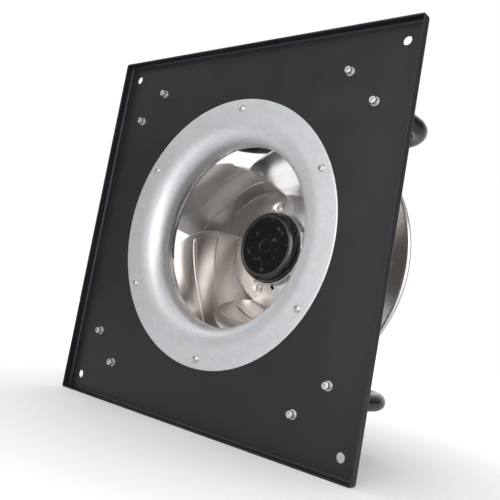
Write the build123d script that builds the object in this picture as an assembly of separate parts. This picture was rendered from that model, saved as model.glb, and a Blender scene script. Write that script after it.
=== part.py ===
from build123d import *
import os
from math import atan, atan2, cos, degrees, hypot, radians, sin, tan

# Plug fan: a square inlet plate carries an inlet nozzle, and two bent tubes carry the motor.
# The frame has X to the right seen from the inlet, Y backward along the shaft and Z up.
# The origin is the shaft's axis on the plate's front face. All sizes are in millimetres.

# Inlet plate, a pressed sheet with its rim folded forward
PLATE_SIDE = 500.0
PLATE_THICKNESS = 2.0
RIM_DEPTH = 11.0
RIM_BEND_RADIUS = 4.5
PLATE_CORNER_RADIUS = 3.0
PLATE_OPENING_CLEARANCE = 0.5
MOUNT_HOLE_SPACING = 453.0
MOUNT_HOLE_RADIUS = 5.5

# Inlet nozzle, a spun sheet whose bell turns in two arcs
NOZZLE_THICKNESS = 1.5
NOZZLE_FLANGE_RADIUS = 177.0
NOZZLE_BELL_START_RADIUS = 152.0
NOZZLE_RUNNING_GAP = 1.4
NOZZLE_OUTER_ARC_RADIUS = 55.0
NOZZLE_OUTER_ARC_TURN = 15.0
NOZZLE_OVERLAP = 5.0
NOZZLE_BLADE_GAP = 1.0
NOZZLE_SCREW_COUNT = 6
NOZZLE_SCREW_FIRST_ANGLE = 30.0

# Bent tubes and the feet that are screwed to the plate
TUBE_RADIUS = 11.0
TUBE_WALL = 2.0
TUBE_X = 179.0
TUBE_Z = 178.0
TUBE_BACK_Y = 193.9
TUBE_BEND_RADIUS = 62.4
FOOT_THICKNESS = 6.0
FOOT_WIDTH = 28.0
FOOT_BOLT_REACH = 19.7
FOOT_WELD_SIZE = 2.5

# Machine screws
M4_RADIUS = 2.0
M4_HEAD_RADIUS = 3.6
M4_HEAD_HEIGHT = 2.4
M5_RADIUS = 2.5
M5_HEAD_RADIUS = 4.25
M5_HEAD_HEIGHT = 5.0
M5_SOCKET_RADIUS = 2.3
M6_RADIUS = 3.0
M6_HEAD_RADIUS = 5.0
M6_HEAD_HEIGHT = 6.0
M6_SOCKET_RADIUS = 2.9
HOLE_CLEARANCE = 0.3
WASHER_THICKNESS = 1.2
WASHER_RADIUS = 5.5
SPRING_WASHER_THICKNESS = 1.6
SPRING_WASHER_RADIUS = 4.6
SPRING_WASHER_SLIT = 0.8
THREAD_PAST_END = 2.0
CUT_MARGIN = 1.0

# Impeller: front shroud, back plate and five backward-curved blades
BLADE_COUNT = 5
SHEET_THICKNESS = 2.0
IMPELLER_RADIUS = 183.0
SHROUD_INLET_RADIUS = 125.0
SHROUD_INLET_SETBACK = 8.21
SHROUD_COLLAR_LENGTH = 7.0
SHROUD_BEND_RADIUS = 12.0
SHROUD_BEND_TURN = 50.0
BACK_PLATE_THICKNESS = 2.5
BACK_PLATE_OPENING_Y = 120.5
BACK_PLATE_RING_RADIUS = 82.0
BACK_PLATE_RING_Y = 129.5
BACK_PLATE_RIM_Y = 166.5
BLADE_TIP_MARGIN = 2.0
# Collar drawn forward round the rotor
HUB_COLLAR_CLEARANCE = 0.3
HUB_COLLAR_WALL = 2.0
HUB_COLLAR_HEIGHT = 12.0
HUB_COLLAR_FILLET = 2.2
# Shares of the way from the hub ring to the rim where the back plate's curve runs, out and back
BACK_PLATE_CURVE = ((0.059, 0.116), (0.149, 0.311), (0.327, 0.568), (0.634, 0.838))

# Leading edge of a blade, as a curve from the back plate to the shroud
EDGE_RADII = (85.3, 95.1, 104.2, 123.3)
EDGE_DEPTHS = (130.9, 81.0, 40.0, 40.0)
EDGE_ANGLES = (99.3, 95.9, 105.5, 124.4)
# Trailing edge and the bow of the blade, each at the back plate and at the shroud
TIP_ANGLES = (178.8, 175.8)
TIP_DEPTHS = (166.0, 97.0)
BLADE_BOWS = (27.3, -2.8)
BLADE_RISES = (0.71, 1.21)
BLADE_BOW_PLACE = 0.3
BLADE_SPAN_START = -0.12
BLADE_SPAN_END = 1.42
BLADE_COLUMN_COUNT = 11
BLADE_ROW_COUNT = 12
# The two embossed ribs of a blade, each from its front end to its rear end
RIB_SPANS = ((0.58, 0.93), (0.25, 0.42))
RIB_START = 0.03
RIB_END = 0.9
RIB_RADIUS = 2.6
RIB_SIDE_COUNT = 8
RIB_POINT_COUNT = 4

# Rotor of the external-rotor motor
ROTOR_RADIUS = 49.5
ROTOR_WALL = 3.0
ROTOR_FRONT_Y = 94.0
ROTOR_FRONT_WALL = 4.0
ROTOR_REAR_Y = 170.0
ROTOR_EDGE_RADIUS = 10.0
ROTOR_BOSS_RADIUS = 13.0
ROTOR_BOSS_LENGTH = 14.0
ROTOR_RECESS_RADIUS = 9.5
ROTOR_RECESS_DEPTH = 1.0
ROTOR_FLANGE_RADIUS = 70.0
ROTOR_FLANGE_THICKNESS = 4.0
HUB_SCREW_CIRCLE_RADIUS = 61.5
HUB_SCREW_FIRST_ANGLE = 101.7
HUB_SCREW_COUNT = 5
HUB_SCREW_HEAD_RADIUS = 4.6
HUB_SCREW_HEAD_HEIGHT = 3.0
DIMPLE_DEPTH = 3.8
DIMPLE_MOUTH_RADIUS = 7.4
DIMPLE_FLOOR_RADIUS = 6.2
BALANCE_HOLE_RADIUS = 2.3
BALANCE_HOLE_PLACE = (55.2, 273.5)
MAGNET_COUNT = 10
MAGNET_THICKNESS = 3.6
MAGNET_GAP_ANGLE = 2.0
MAGNET_FRONT_INSET = 14.0
MAGNET_REAR_INSET = 8.0

# Shaft and its two bearings
SHAFT_RADIUS = 6.0
SHAFT_INSET = 1.5
SHAFT_REAR_Y = 180.0
BEARING_RADIUS = 14.0
BEARING_WIDTH = 8.0
BEARING_ROW_INSET = 1.0
BEARING_RING = 2.4
BEARING_RUNNING_CLEARANCE = 0.03
FRONT_BEARING_INSET = 1.0
REAR_BEARING_Y = 165.0
CLIP_THICKNESS = 1.0
CLIP_RADIUS = 8.5
CLIP_DEPTH = 0.6
CLIP_END_PLAY = 0.3

# Stator
AIR_GAP = 0.7
STATOR_INSET = 5.0
YOKE_THICKNESS = 7.0
TOOTH_COUNT = 12
TOOTH_WIDTH = 7.0
TOOTH_SINK = 1.0
TOOTH_TIP_THICKNESS = 4.2
TOOTH_TIP_ANGLE = 24.0
COIL_MARGIN = 1.5
COIL_SIDE = 2.4
COIL_OVERHANG = 4.0

# Motor housing, a casting with a square flange, a bearing tube and a finned electronics pot
BEARING_TUBE_RADIUS = 19.0
BEARING_TUBE_FRONT_Y = 116.0
BEARING_SHOULDER_RADIUS = 12.5
SPIGOT_CLEARANCE = 0.5
SPIGOT_RUNNING_GAP = 6.5
FLANGE_SIDE = 150.0
FLANGE_CORNER_RADIUS = 9.0
FLANGE_THICKNESS = 8.0
FLANGE_BOLT_HALF_SPACING = 66.0
POT_RADIUS = 73.0
POT_WALL = 7.0
POT_END_Y = 235.0
POT_FLOOR = 4.0
POT_SCREW_CIRCLE_RADIUS = 44.0
POT_SCREW_COUNT = 4
POT_SCREW_FIRST_ANGLE = 45.0
CABLE_PASSAGE_RADIUS = 7.0
CABLE_PASSAGE_PLACE = 34.0
FIN_COUNT = 32
FIN_HEIGHT = 6.0
FIN_WIDTH = 2.4
GLAND_X = 17.0
GLAND_Y = 214.0
GLAND_PAD_HALF_WIDTH = 34.0
GLAND_PAD_HALF_DEPTH = 13.0
GLAND_PAD_RISE = 9.0
GLAND_HEX_RADIUS = 12.0
GLAND_HEX_HEIGHT = 5.0
GLAND_THREAD_RADIUS = 8.0
GLAND_NUT_RADIUS = 10.5
GLAND_NUT_HEIGHT = 11.0
GLAND_BORE_RADIUS = 4.0
GLAND_NUT_BORE_GAP = 1.0
STANDOFF_RADIUS = 3.5
STANDOFF_HEIGHT = 5.0
STANDOFF_COUNT = 3
STANDOFF_FIRST_ANGLE = 90.0
STANDOFF_INSET = 10.0
BOARD_CLEARANCE = 4.0
BOARD_THICKNESS = 1.6
CAPACITOR_RADIUS = 8.0
CAPACITOR_HEIGHT = 22.0
CHOKE_RADIUS = 11.0
CHOKE_HOLE_RADIUS = 5.0
CHOKE_HEIGHT = 9.0
CAPACITOR_INSET = 20.0
CAPACITOR_ANGLES = (137.0, 171.0, 207.0)
CHOKE_ANGLE = 32.0
POWER_BLOCK_LENGTH = 30.0
POWER_BLOCK_WIDTH = 20.0
POWER_BLOCK_ANGLE = 325.0
SEAL_THICKNESS = 1.0
SEAL_MARGIN = 1.0
COVER_THICKNESS = 4.0
COVER_CROWN_INSET = 15.0
COVER_CROWN_HEIGHT = 5.0
COVER_SCREW_COUNT = 6
COVER_SCREW_DEPTH = 8.0

# Motor bracket, a folded sheet welded to the fronts of both tubes
BRACKET_THICKNESS = 4.0
BRACKET_HALF_WIDTH = 85.0
BRACKET_END_HALF_WIDTH = 60.0
BRACKET_TAPER_START_Z = 112.0
BRACKET_PAST_TUBE = 5.0
BRACKET_LIP_HEIGHT = 16.0
BRACKET_LIP_SET_BACK = 7.0
BRACKET_OPENING_RADIUS = 54.0
BRACKET_WELD_RADIUS = 3.4
BRACKET_WELD_HALF_LENGTH = 45.0
BRACKET_WELD_DROP = 8.4

# Dimensions that follow
PLATE_BACK_Y = PLATE_THICKNESS
PLATE_OPENING_RADIUS = NOZZLE_BELL_START_RADIUS + PLATE_OPENING_CLEARANCE
NOZZLE_FACE_Y = -NOZZLE_THICKNESS
NOZZLE_THROAT_RADIUS = SHROUD_INLET_RADIUS - NOZZLE_RUNNING_GAP - NOZZLE_THICKNESS
NOZZLE_SCREW_CIRCLE_RADIUS = (NOZZLE_BELL_START_RADIUS + NOZZLE_FLANGE_RADIUS) / 2
BELL_TURN_SINE = sin(radians(NOZZLE_OUTER_ARC_TURN))
BELL_TURN_COSINE = cos(radians(NOZZLE_OUTER_ARC_TURN))
BELL_JOINT_RADIUS = NOZZLE_BELL_START_RADIUS - NOZZLE_OUTER_ARC_RADIUS * BELL_TURN_SINE
BELL_INNER_ARC_RADIUS = (BELL_JOINT_RADIUS - NOZZLE_THROAT_RADIUS) / (1 - BELL_TURN_SINE)
BELL_OUTER_CENTRE_Y = NOZZLE_FACE_Y + NOZZLE_OUTER_ARC_RADIUS
BELL_END_Y = BELL_OUTER_CENTRE_Y - (NOZZLE_OUTER_ARC_RADIUS - BELL_INNER_ARC_RADIUS) * BELL_TURN_COSINE
SHROUD_INLET_Y = BELL_END_Y + SHROUD_INLET_SETBACK
SHROUD_BEND_Y = SHROUD_INLET_Y + SHROUD_COLLAR_LENGTH
NOZZLE_END_Y = SHROUD_INLET_Y + NOZZLE_OVERLAP
CHANNEL_FRONT_Y = NOZZLE_END_Y + NOZZLE_BLADE_GAP
FOOT_BACK_Y = PLATE_BACK_Y + FOOT_THICKNESS
BRACKET_BACK_Y = TUBE_BACK_Y - TUBE_RADIUS
BRACKET_FRONT_Y = BRACKET_BACK_Y - BRACKET_THICKNESS
BRACKET_HALF_HEIGHT = TUBE_Z + BRACKET_PAST_TUBE
FLANGE_BACK_Y = BRACKET_BACK_Y + FLANGE_THICKNESS
SPIGOT_RADIUS = BRACKET_OPENING_RADIUS - SPIGOT_CLEARANCE
SPIGOT_FRONT_Y = ROTOR_REAR_Y + SPIGOT_RUNNING_GAP
POT_BORE_RADIUS = POT_RADIUS - POT_WALL
POT_FLOOR_Y = FLANGE_BACK_Y + POT_FLOOR
GLAND_PAD_Z = -POT_RADIUS - GLAND_PAD_RISE
BOARD_Y = POT_FLOOR_Y + STANDOFF_HEIGHT
BOARD_RADIUS = POT_BORE_RADIUS - BOARD_CLEARANCE
COVER_Y = POT_END_Y + SEAL_THICKNESS
COVER_CROWN_RADIUS = POT_RADIUS - COVER_CROWN_INSET
COVER_SCREW_CIRCLE_RADIUS = POT_RADIUS - POT_WALL / 2
ROTOR_BORE_RADIUS = ROTOR_RADIUS - ROTOR_WALL
ROTOR_BOSS_END_Y = ROTOR_FRONT_Y + ROTOR_BOSS_LENGTH
SHAFT_FRONT_Y = ROTOR_FRONT_Y + SHAFT_INSET
MAGNET_START_Y = ROTOR_FRONT_Y + MAGNET_FRONT_INSET
MAGNET_END_Y = ROTOR_REAR_Y - MAGNET_REAR_INSET
STATOR_START_Y = MAGNET_START_Y + STATOR_INSET
STATOR_END_Y = MAGNET_END_Y - STATOR_INSET
STATOR_RADIUS = ROTOR_BORE_RADIUS - MAGNET_THICKNESS - AIR_GAP
YOKE_RADIUS = BEARING_TUBE_RADIUS + YOKE_THICKNESS
TOOTH_TIP_START_RADIUS = STATOR_RADIUS - TOOTH_TIP_THICKNESS
FRONT_BEARING_Y = BEARING_TUBE_FRONT_Y + FRONT_BEARING_INSET
CLIP_Y = REAR_BEARING_Y + BEARING_WIDTH + CLIP_END_PLAY
HUB_COLLAR_BORE_RADIUS = ROTOR_RADIUS + HUB_COLLAR_CLEARANCE
BACK_PLATE_OPENING_RADIUS = HUB_COLLAR_BORE_RADIUS + HUB_COLLAR_WALL
HUB_COLLAR_FRONT_Y = BACK_PLATE_OPENING_Y - HUB_COLLAR_HEIGHT
ROTOR_INNER_EDGE_RADIUS = ROTOR_EDGE_RADIUS - ROTOR_WALL
CONE_SLOPE = (BACK_PLATE_RING_Y - BACK_PLATE_OPENING_Y) / (BACK_PLATE_RING_RADIUS - BACK_PLATE_OPENING_RADIUS)
DIMPLE_FACE_Y = BACK_PLATE_OPENING_Y + CONE_SLOPE * (HUB_SCREW_CIRCLE_RADIUS - BACK_PLATE_OPENING_RADIUS)
ROTOR_FLANGE_Y = DIMPLE_FACE_Y + DIMPLE_DEPTH + BACK_PLATE_THICKNESS
BLADE_TIP_RADIUS = IMPELLER_RADIUS - BLADE_TIP_MARGIN
BLADE_PITCH = 360.0 / BLADE_COUNT


def square_places(half):
    """The four corners of a square round the shaft."""
    return [(x * half, z * half) for x in (-1, 1) for z in (-1, 1)]


FOOT_BOLT_PLACES = [
    (x * (TUBE_X + turn * FOOT_BOLT_REACH), z * (TUBE_Z - turn * FOOT_BOLT_REACH))
    for x in (-1, 1)
    for z in (-1, 1)
    for turn in (-1, 1)
]
MOUNT_HOLE_PLACES = square_places(MOUNT_HOLE_SPACING / 2)
FLANGE_BOLT_PLACES = square_places(FLANGE_BOLT_HALF_SPACING)


def on_circle(radius, angle):
    """The x and z of a point on a circle round the shaft, its angle taken from X towards Z."""
    return radius * cos(radians(angle)), radius * sin(radians(angle))


def circle_places(radius, count, first_angle):
    return [on_circle(radius, first_angle + 360.0 * i / count) for i in range(count)]


def nozzle_screw_places():
    return circle_places(NOZZLE_SCREW_CIRCLE_RADIUS, NOZZLE_SCREW_COUNT, NOZZLE_SCREW_FIRST_ANGLE)


def hub_screw_places():
    return circle_places(HUB_SCREW_CIRCLE_RADIUS, HUB_SCREW_COUNT, HUB_SCREW_FIRST_ANGLE)


def cover_screw_places():
    return circle_places(COVER_SCREW_CIRCLE_RADIUS, COVER_SCREW_COUNT, 0)


def pot_screw_places():
    return circle_places(POT_SCREW_CIRCLE_RADIUS, POT_SCREW_COUNT, POT_SCREW_FIRST_ANGLE)


def rod(x, z, y0, y1, radius):
    """A round bar along Y between two depths."""
    return Pos(x, (y0 + y1) / 2, z) * Rot(90, 0, 0) * Cylinder(radius, y1 - y0)


def pipe(x, z, y0, y1, radius, bore):
    return rod(x, z, y0, y1, radius) - rod(x, z, y0, y1, bore)


def prism(x, z, y0, y1, radius, sides):
    """A bar along Y with a regular section, its size given across the corners."""
    section = Plane((x, y0, z), x_dir=(1, 0, 0), z_dir=(0, 1, 0)) * RegularPolygon(radius, sides)
    return extrude(section, y1 - y0)


def block(x0, x1, y0, y1, z0, z1):
    return Pos((x0 + x1) / 2, (y0 + y1) / 2, (z0 + z1) / 2) * Box(x1 - x0, y1 - y0, z1 - z0)


def turned(edges):
    """The solid that a closed profile of radius and depth makes round the shaft."""
    return revolve(make_face(edges), axis=Axis.Y)


def turned_outline(points):
    return turned(Polyline(*points, close=True))


def group(shapes):
    """Separate solids that share one node."""
    return Compound(children=[solid for shape in shapes for solid in shape.solids()])


def through_plate(x, z, radius):
    """A round cut through the plate's sheet."""
    return rod(x, z, -CUT_MARGIN, PLATE_BACK_Y + CUT_MARGIN, radius)


def front_plate():
    """A shallow tray of sheet: flat face, round opening and a rim folded forward."""
    half = PLATE_SIDE / 2
    inner = half - PLATE_THICKNESS
    tray = block(-half, half, -RIM_DEPTH, PLATE_BACK_Y, -half, half)
    tray = fillet(tray.edges().filter_by(Axis.Y), PLATE_CORNER_RADIUS)
    tray = fillet(tray.faces().sort_by(Axis.Y)[-1].edges(), RIM_BEND_RADIUS)
    pocket = block(-inner, inner, -RIM_DEPTH, 0, -inner, inner)
    pocket = fillet(pocket.edges().filter_by(Axis.Y), PLATE_CORNER_RADIUS - PLATE_THICKNESS)
    pocket = fillet(pocket.faces().sort_by(Axis.Y)[-1].edges(), RIM_BEND_RADIUS - PLATE_THICKNESS)
    plate = tray - pocket - through_plate(0, 0, PLATE_OPENING_RADIUS)
    for x, z in MOUNT_HOLE_PLACES:
        plate -= through_plate(x, z, MOUNT_HOLE_RADIUS)
    for x, z in FOOT_BOLT_PLACES:
        plate -= through_plate(x, z, M5_RADIUS + HOLE_CLEARANCE)
    for x, z in nozzle_screw_places():
        plate -= through_plate(x, z, M4_RADIUS)
    return plate


def bell_points(depth_into_sheet):
    """Start, joint, end and two mid points of the bell's arcs on a face of the sheet."""
    outer = NOZZLE_OUTER_ARC_RADIUS
    turn = NOZZLE_OUTER_ARC_TURN
    inner = BELL_INNER_ARC_RADIUS
    inner_centre_radius = NOZZLE_THROAT_RADIUS + inner

    def at(centre_radius, centre_y, radius, angle):
        reach = radius - depth_into_sheet
        return centre_radius - reach * sin(radians(angle)), centre_y - reach * cos(radians(angle))

    return [
        at(NOZZLE_BELL_START_RADIUS, BELL_OUTER_CENTRE_Y, outer, 0),
        at(NOZZLE_BELL_START_RADIUS, BELL_OUTER_CENTRE_Y, outer, turn / 2),
        at(NOZZLE_BELL_START_RADIUS, BELL_OUTER_CENTRE_Y, outer, turn),
        at(inner_centre_radius, BELL_END_Y, inner, (turn + 90) / 2),
        at(inner_centre_radius, BELL_END_Y, inner, 90),
    ]


def inlet_nozzle():
    """A flat flange on the plate's face that rolls through the bell into the throat."""
    face = bell_points(0)
    back = bell_points(NOZZLE_THICKNESS)
    throat_end = (NOZZLE_THROAT_RADIUS, NOZZLE_END_Y)
    throat_end_back = (NOZZLE_THROAT_RADIUS + NOZZLE_THICKNESS, NOZZLE_END_Y)
    profile = [
        Line((NOZZLE_FLANGE_RADIUS, NOZZLE_FACE_Y), face[0]),
        ThreePointArc(face[0], face[1], face[2]),
        ThreePointArc(face[2], face[3], face[4]),
        Line(face[4], throat_end),
        Line(throat_end, throat_end_back),
        Line(throat_end_back, back[4]),
        ThreePointArc(back[4], back[3], back[2]),
        ThreePointArc(back[2], back[1], back[0]),
        Line(back[0], (NOZZLE_FLANGE_RADIUS, 0)),
        Line((NOZZLE_FLANGE_RADIUS, 0), (NOZZLE_FLANGE_RADIUS, NOZZLE_FACE_Y)),
    ]
    nozzle = turned(profile)
    for x, z in nozzle_screw_places():
        nozzle -= rod(x, z, NOZZLE_FACE_Y - CUT_MARGIN, CUT_MARGIN, M4_RADIUS)
    return nozzle


def nozzle_screws():
    """Pan-head screws that hold the nozzle's flange on the plate."""
    tip = PLATE_BACK_Y + THREAD_PAST_END
    size = (M4_RADIUS, M4_HEAD_RADIUS, M4_HEAD_HEIGHT)
    return group([pan_head_screw(x, z, NOZZLE_FACE_Y, tip, *size) for x, z in nozzle_screw_places()])


def tube_path(z):
    return FilletPolyline(
        (TUBE_X, FOOT_BACK_Y, z),
        (TUBE_X, TUBE_BACK_Y, z),
        (-TUBE_X, TUBE_BACK_Y, z),
        (-TUBE_X, FOOT_BACK_Y, z),
        radius=TUBE_BEND_RADIUS,
    )


def bent_tube(z, bore=True):
    """One tube from foot to foot: back from the plate, round a bend, across and forward again."""
    start = Plane((TUBE_X, FOOT_BACK_Y, z), x_dir=(1, 0, 0), z_dir=(0, 1, 0))
    section = Circle(TUBE_RADIUS)
    if bore:
        section -= Circle(TUBE_RADIUS - TUBE_WALL)
    return sweep(start * section, path=tube_path(z))


def foot(sign_x, sign_z):
    """A rounded bar across the plate's corner, with a threaded hole at each end."""
    along = (sign_x, 0, -sign_z)
    plane = Plane((sign_x * TUBE_X, PLATE_BACK_Y, sign_z * TUBE_Z), x_dir=along, z_dir=(0, 1, 0))
    reach = hypot(2 * FOOT_BOLT_REACH, 2 * FOOT_BOLT_REACH)
    bar = extrude(plane * SlotCenterToCenter(reach, FOOT_WIDTH), FOOT_THICKNESS)
    for x, z in FOOT_BOLT_PLACES:
        bar -= rod(x, z, PLATE_BACK_Y - CUT_MARGIN, FOOT_BACK_Y + CUT_MARGIN, M5_RADIUS)
    return bar


def strut_feet():
    return group([foot(x, z) for x in (-1, 1) for z in (-1, 1)])


def strut_welds():
    """A fillet of weld round each tube where it stands on its foot."""
    profile = ((TUBE_RADIUS, 0), (TUBE_RADIUS + FOOT_WELD_SIZE, 0), (TUBE_RADIUS, FOOT_WELD_SIZE))
    bead = turned_outline(profile)
    return group([Pos(x * TUBE_X, FOOT_BACK_Y, z * TUBE_Z) * bead for x in (-1, 1) for z in (-1, 1)])


def strut_washers():
    bore = M5_RADIUS + HOLE_CLEARANCE
    return group([pipe(x, z, -WASHER_THICKNESS, 0, WASHER_RADIUS, bore) for x, z in FOOT_BOLT_PLACES])


def spring_washers():
    """Split washers under the bolt heads, the slit pointing away from the shaft."""
    front = -WASHER_THICKNESS - SPRING_WASHER_THICKNESS
    washers = []
    for x, z in FOOT_BOLT_PLACES:
        ring = pipe(x, z, front, -WASHER_THICKNESS, SPRING_WASHER_RADIUS, M5_RADIUS + HOLE_CLEARANCE)
        slit = Box(2 * SPRING_WASHER_RADIUS, 2 * SPRING_WASHER_RADIUS, SPRING_WASHER_SLIT)
        turn = Rot(0, -degrees(atan2(z, x)), 0)
        washers.append(ring - Pos(x, front, z) * turn * Pos(SPRING_WASHER_RADIUS, 0, 0) * slit)
    return group(washers)


def cap_screw(x, z, head_back_y, tip_y, radius, head_radius, head_height, socket_radius):
    """A socket-head screw whose head looks forward when its tip lies behind it."""
    forward = -1 if tip_y > head_back_y else 1
    head_front_y = head_back_y + forward * head_height
    socket_y = head_front_y - forward * head_height / 2
    head = rod(x, z, min(head_back_y, head_front_y), max(head_back_y, head_front_y), head_radius)
    head -= prism(x, z, min(head_front_y, socket_y), max(head_front_y, socket_y), socket_radius, 6)
    return head + rod(x, z, min(head_back_y, tip_y), max(head_back_y, tip_y), radius)


def strut_bolts():
    seat = -WASHER_THICKNESS - SPRING_WASHER_THICKNESS
    tip = FOOT_BACK_Y + THREAD_PAST_END
    size = (M5_RADIUS, M5_HEAD_RADIUS, M5_HEAD_HEIGHT, M5_SOCKET_RADIUS)
    return group([cap_screw(x, z, seat, tip, *size) for x, z in FOOT_BOLT_PLACES])


def bracket_outline():
    """Half width at the ends, then the full width between the two tapers."""
    wide, narrow = BRACKET_HALF_WIDTH, BRACKET_END_HALF_WIDTH
    taper, high = BRACKET_TAPER_START_Z, BRACKET_HALF_HEIGHT
    right = [(narrow, -high), (wide, -taper), (wide, taper), (narrow, high)]
    return right + [(-x, z) for x, z in reversed(right)]


def motor_bracket():
    """A sheet web against both tubes, stiffened by a lip folded backward along each side."""
    plane = Plane((0, BRACKET_FRONT_Y, 0), x_dir=(1, 0, 0), z_dir=(0, 1, 0))
    outline = make_face(Polyline(*bracket_outline(), close=True))
    web = extrude(plane * outline, BRACKET_THICKNESS)
    long = BRACKET_TAPER_START_Z - BRACKET_LIP_SET_BACK
    lip_end_y = BRACKET_BACK_Y + BRACKET_LIP_HEIGHT
    for start in (-BRACKET_HALF_WIDTH, BRACKET_HALF_WIDTH - BRACKET_THICKNESS):
        web += block(start, start + BRACKET_THICKNESS, BRACKET_FRONT_Y, lip_end_y, -long, long)
    cut_start, cut_end = BRACKET_FRONT_Y - CUT_MARGIN, BRACKET_BACK_Y + CUT_MARGIN
    web -= rod(0, 0, cut_start, cut_end, BRACKET_OPENING_RADIUS)
    for x, z in FLANGE_BOLT_PLACES:
        web -= rod(x, z, cut_start, cut_end, M6_RADIUS)
    return web


def bracket_welds(bracket, tubes):
    """Weld seams in the grooves between the bracket's ends and the tubes."""
    beads = []
    for side, tube in zip((1, -1), tubes):
        centre_z = side * (TUBE_Z - BRACKET_WELD_DROP)
        bar = Pos(0, BRACKET_BACK_Y, centre_z) * Rot(0, 90, 0)
        bead = bar * Cylinder(BRACKET_WELD_RADIUS, 2 * BRACKET_WELD_HALF_LENGTH)
        beads.append(bead - bracket - tube)
    return group(beads)


def bracket_bolts():
    size = (M6_RADIUS, M6_HEAD_RADIUS, M6_HEAD_HEIGHT, M6_SOCKET_RADIUS)
    tip = BRACKET_FRONT_Y - THREAD_PAST_END
    return group([cap_screw(x, z, FLANGE_BACK_Y, tip, *size) for x, z in FLANGE_BOLT_PLACES])


def stator_flange():
    """The casting that carries the motor: bearing tube, spigot and square flange."""
    shoulder_start = FRONT_BEARING_Y + BEARING_WIDTH
    body = rod(0, 0, BEARING_TUBE_FRONT_Y, SPIGOT_FRONT_Y, BEARING_TUBE_RADIUS)
    body += rod(0, 0, SPIGOT_FRONT_Y, BRACKET_BACK_Y, SPIGOT_RADIUS)
    half = FLANGE_SIDE / 2
    flange = block(-half, half, BRACKET_BACK_Y, FLANGE_BACK_Y, -half, half)
    body += fillet(flange.edges().filter_by(Axis.Y), FLANGE_CORNER_RADIUS)
    body -= rod(0, 0, BEARING_TUBE_FRONT_Y, shoulder_start, BEARING_RADIUS)
    body -= rod(0, 0, shoulder_start, REAR_BEARING_Y, BEARING_SHOULDER_RADIUS)
    body -= rod(0, 0, REAR_BEARING_Y, FLANGE_BACK_Y, BEARING_RADIUS)
    body -= rod(0, CABLE_PASSAGE_PLACE, SPIGOT_FRONT_Y, FLANGE_BACK_Y, CABLE_PASSAGE_RADIUS)
    for x, z in FLANGE_BOLT_PLACES:
        body -= rod(x, z, BRACKET_BACK_Y, FLANGE_BACK_Y, M6_RADIUS + HOLE_CLEARANCE)
    for x, z in pot_screw_places():
        body -= rod(x, z, FLANGE_BACK_Y - POT_FLOOR, FLANGE_BACK_Y, M4_RADIUS)
    return body


def electronics_pot():
    """The finned pot behind the flange, with a pad below it for the cable glands."""
    pot = rod(0, 0, FLANGE_BACK_Y, POT_END_Y, POT_RADIUS)
    reach = POT_RADIUS + FIN_HEIGHT
    fin_end_y = POT_END_Y - POT_WALL
    for i in range(FIN_COUNT):
        fin = block(POT_BORE_RADIUS, reach, FLANGE_BACK_Y, fin_end_y, -FIN_WIDTH / 2, FIN_WIDTH / 2)
        pot += Rot(0, -360.0 * (i + 0.5) / FIN_COUNT, 0) * fin
    wide, deep = GLAND_PAD_HALF_WIDTH, GLAND_PAD_HALF_DEPTH
    pot += block(-wide, wide, GLAND_Y - deep, GLAND_Y + deep, GLAND_PAD_Z, 0)
    for x in (-GLAND_X, GLAND_X):
        pot -= Pos(x, GLAND_Y, GLAND_PAD_Z / 2) * Cylinder(GLAND_THREAD_RADIUS, -GLAND_PAD_Z)
    pot -= rod(0, 0, POT_FLOOR_Y, POT_END_Y, POT_BORE_RADIUS)
    pot -= rod(0, 0, FLANGE_BACK_Y, POT_FLOOR_Y, BEARING_RADIUS)
    pot -= rod(0, CABLE_PASSAGE_PLACE, FLANGE_BACK_Y, POT_FLOOR_Y, CABLE_PASSAGE_RADIUS)
    for x, z in pot_screw_places():
        pot -= rod(x, z, FLANGE_BACK_Y, POT_FLOOR_Y, M4_RADIUS + HOLE_CLEARANCE)
    for x, z in circle_places(BOARD_RADIUS - STANDOFF_INSET, STANDOFF_COUNT, STANDOFF_FIRST_ANGLE):
        pot += rod(x, z, POT_FLOOR_Y, BOARD_Y, STANDOFF_RADIUS)
    for x, z in cover_screw_places():
        pot -= rod(x, z, POT_END_Y - COVER_SCREW_DEPTH, POT_END_Y, M4_RADIUS)
    return pot


def pan_head_screw(x, z, seat_y, tip_y, radius, head_radius, head_height):
    """A screw whose low head has a bevelled rim; the head looks away from the tip."""
    forward = -1 if tip_y > seat_y else 1
    top_y = seat_y + forward * head_height
    head = rod(x, z, min(seat_y, top_y), max(seat_y, top_y), head_radius)
    rim = head.faces().sort_by(Axis.Y)[0 if forward < 0 else -1].edges()
    return chamfer(rim, head_height / 3) + rod(x, z, min(seat_y, tip_y), max(seat_y, tip_y), radius)


def pot_screws():
    """Screws through the pot's floor into the flange, under the circuit board."""
    tip = FLANGE_BACK_Y - POT_FLOOR + THREAD_PAST_END / 2
    size = (M4_RADIUS, M4_HEAD_RADIUS, M4_HEAD_HEIGHT)
    return group([pan_head_screw(x, z, POT_FLOOR_Y, tip, *size) for x, z in pot_screw_places()])


def gland_body(x):
    """A hexagon collar with a threaded spigot above it in the pad and a thread below it for the nut."""
    bottom = GLAND_PAD_Z - GLAND_HEX_HEIGHT
    collar = Pos(x, GLAND_Y, bottom) * extrude(RegularPolygon(GLAND_HEX_RADIUS, 6), GLAND_HEX_HEIGHT)
    length = GLAND_HEX_HEIGHT + GLAND_NUT_HEIGHT / 2
    upper = Pos(x, GLAND_Y, GLAND_PAD_Z + length / 2) * Cylinder(GLAND_THREAD_RADIUS, length)
    lower = Pos(x, GLAND_Y, bottom - length / 2) * Cylinder(GLAND_THREAD_RADIUS, length)
    whole = 4 * length
    return collar + upper + lower - Pos(x, GLAND_Y, bottom) * Cylinder(GLAND_BORE_RADIUS, whole)


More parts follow.
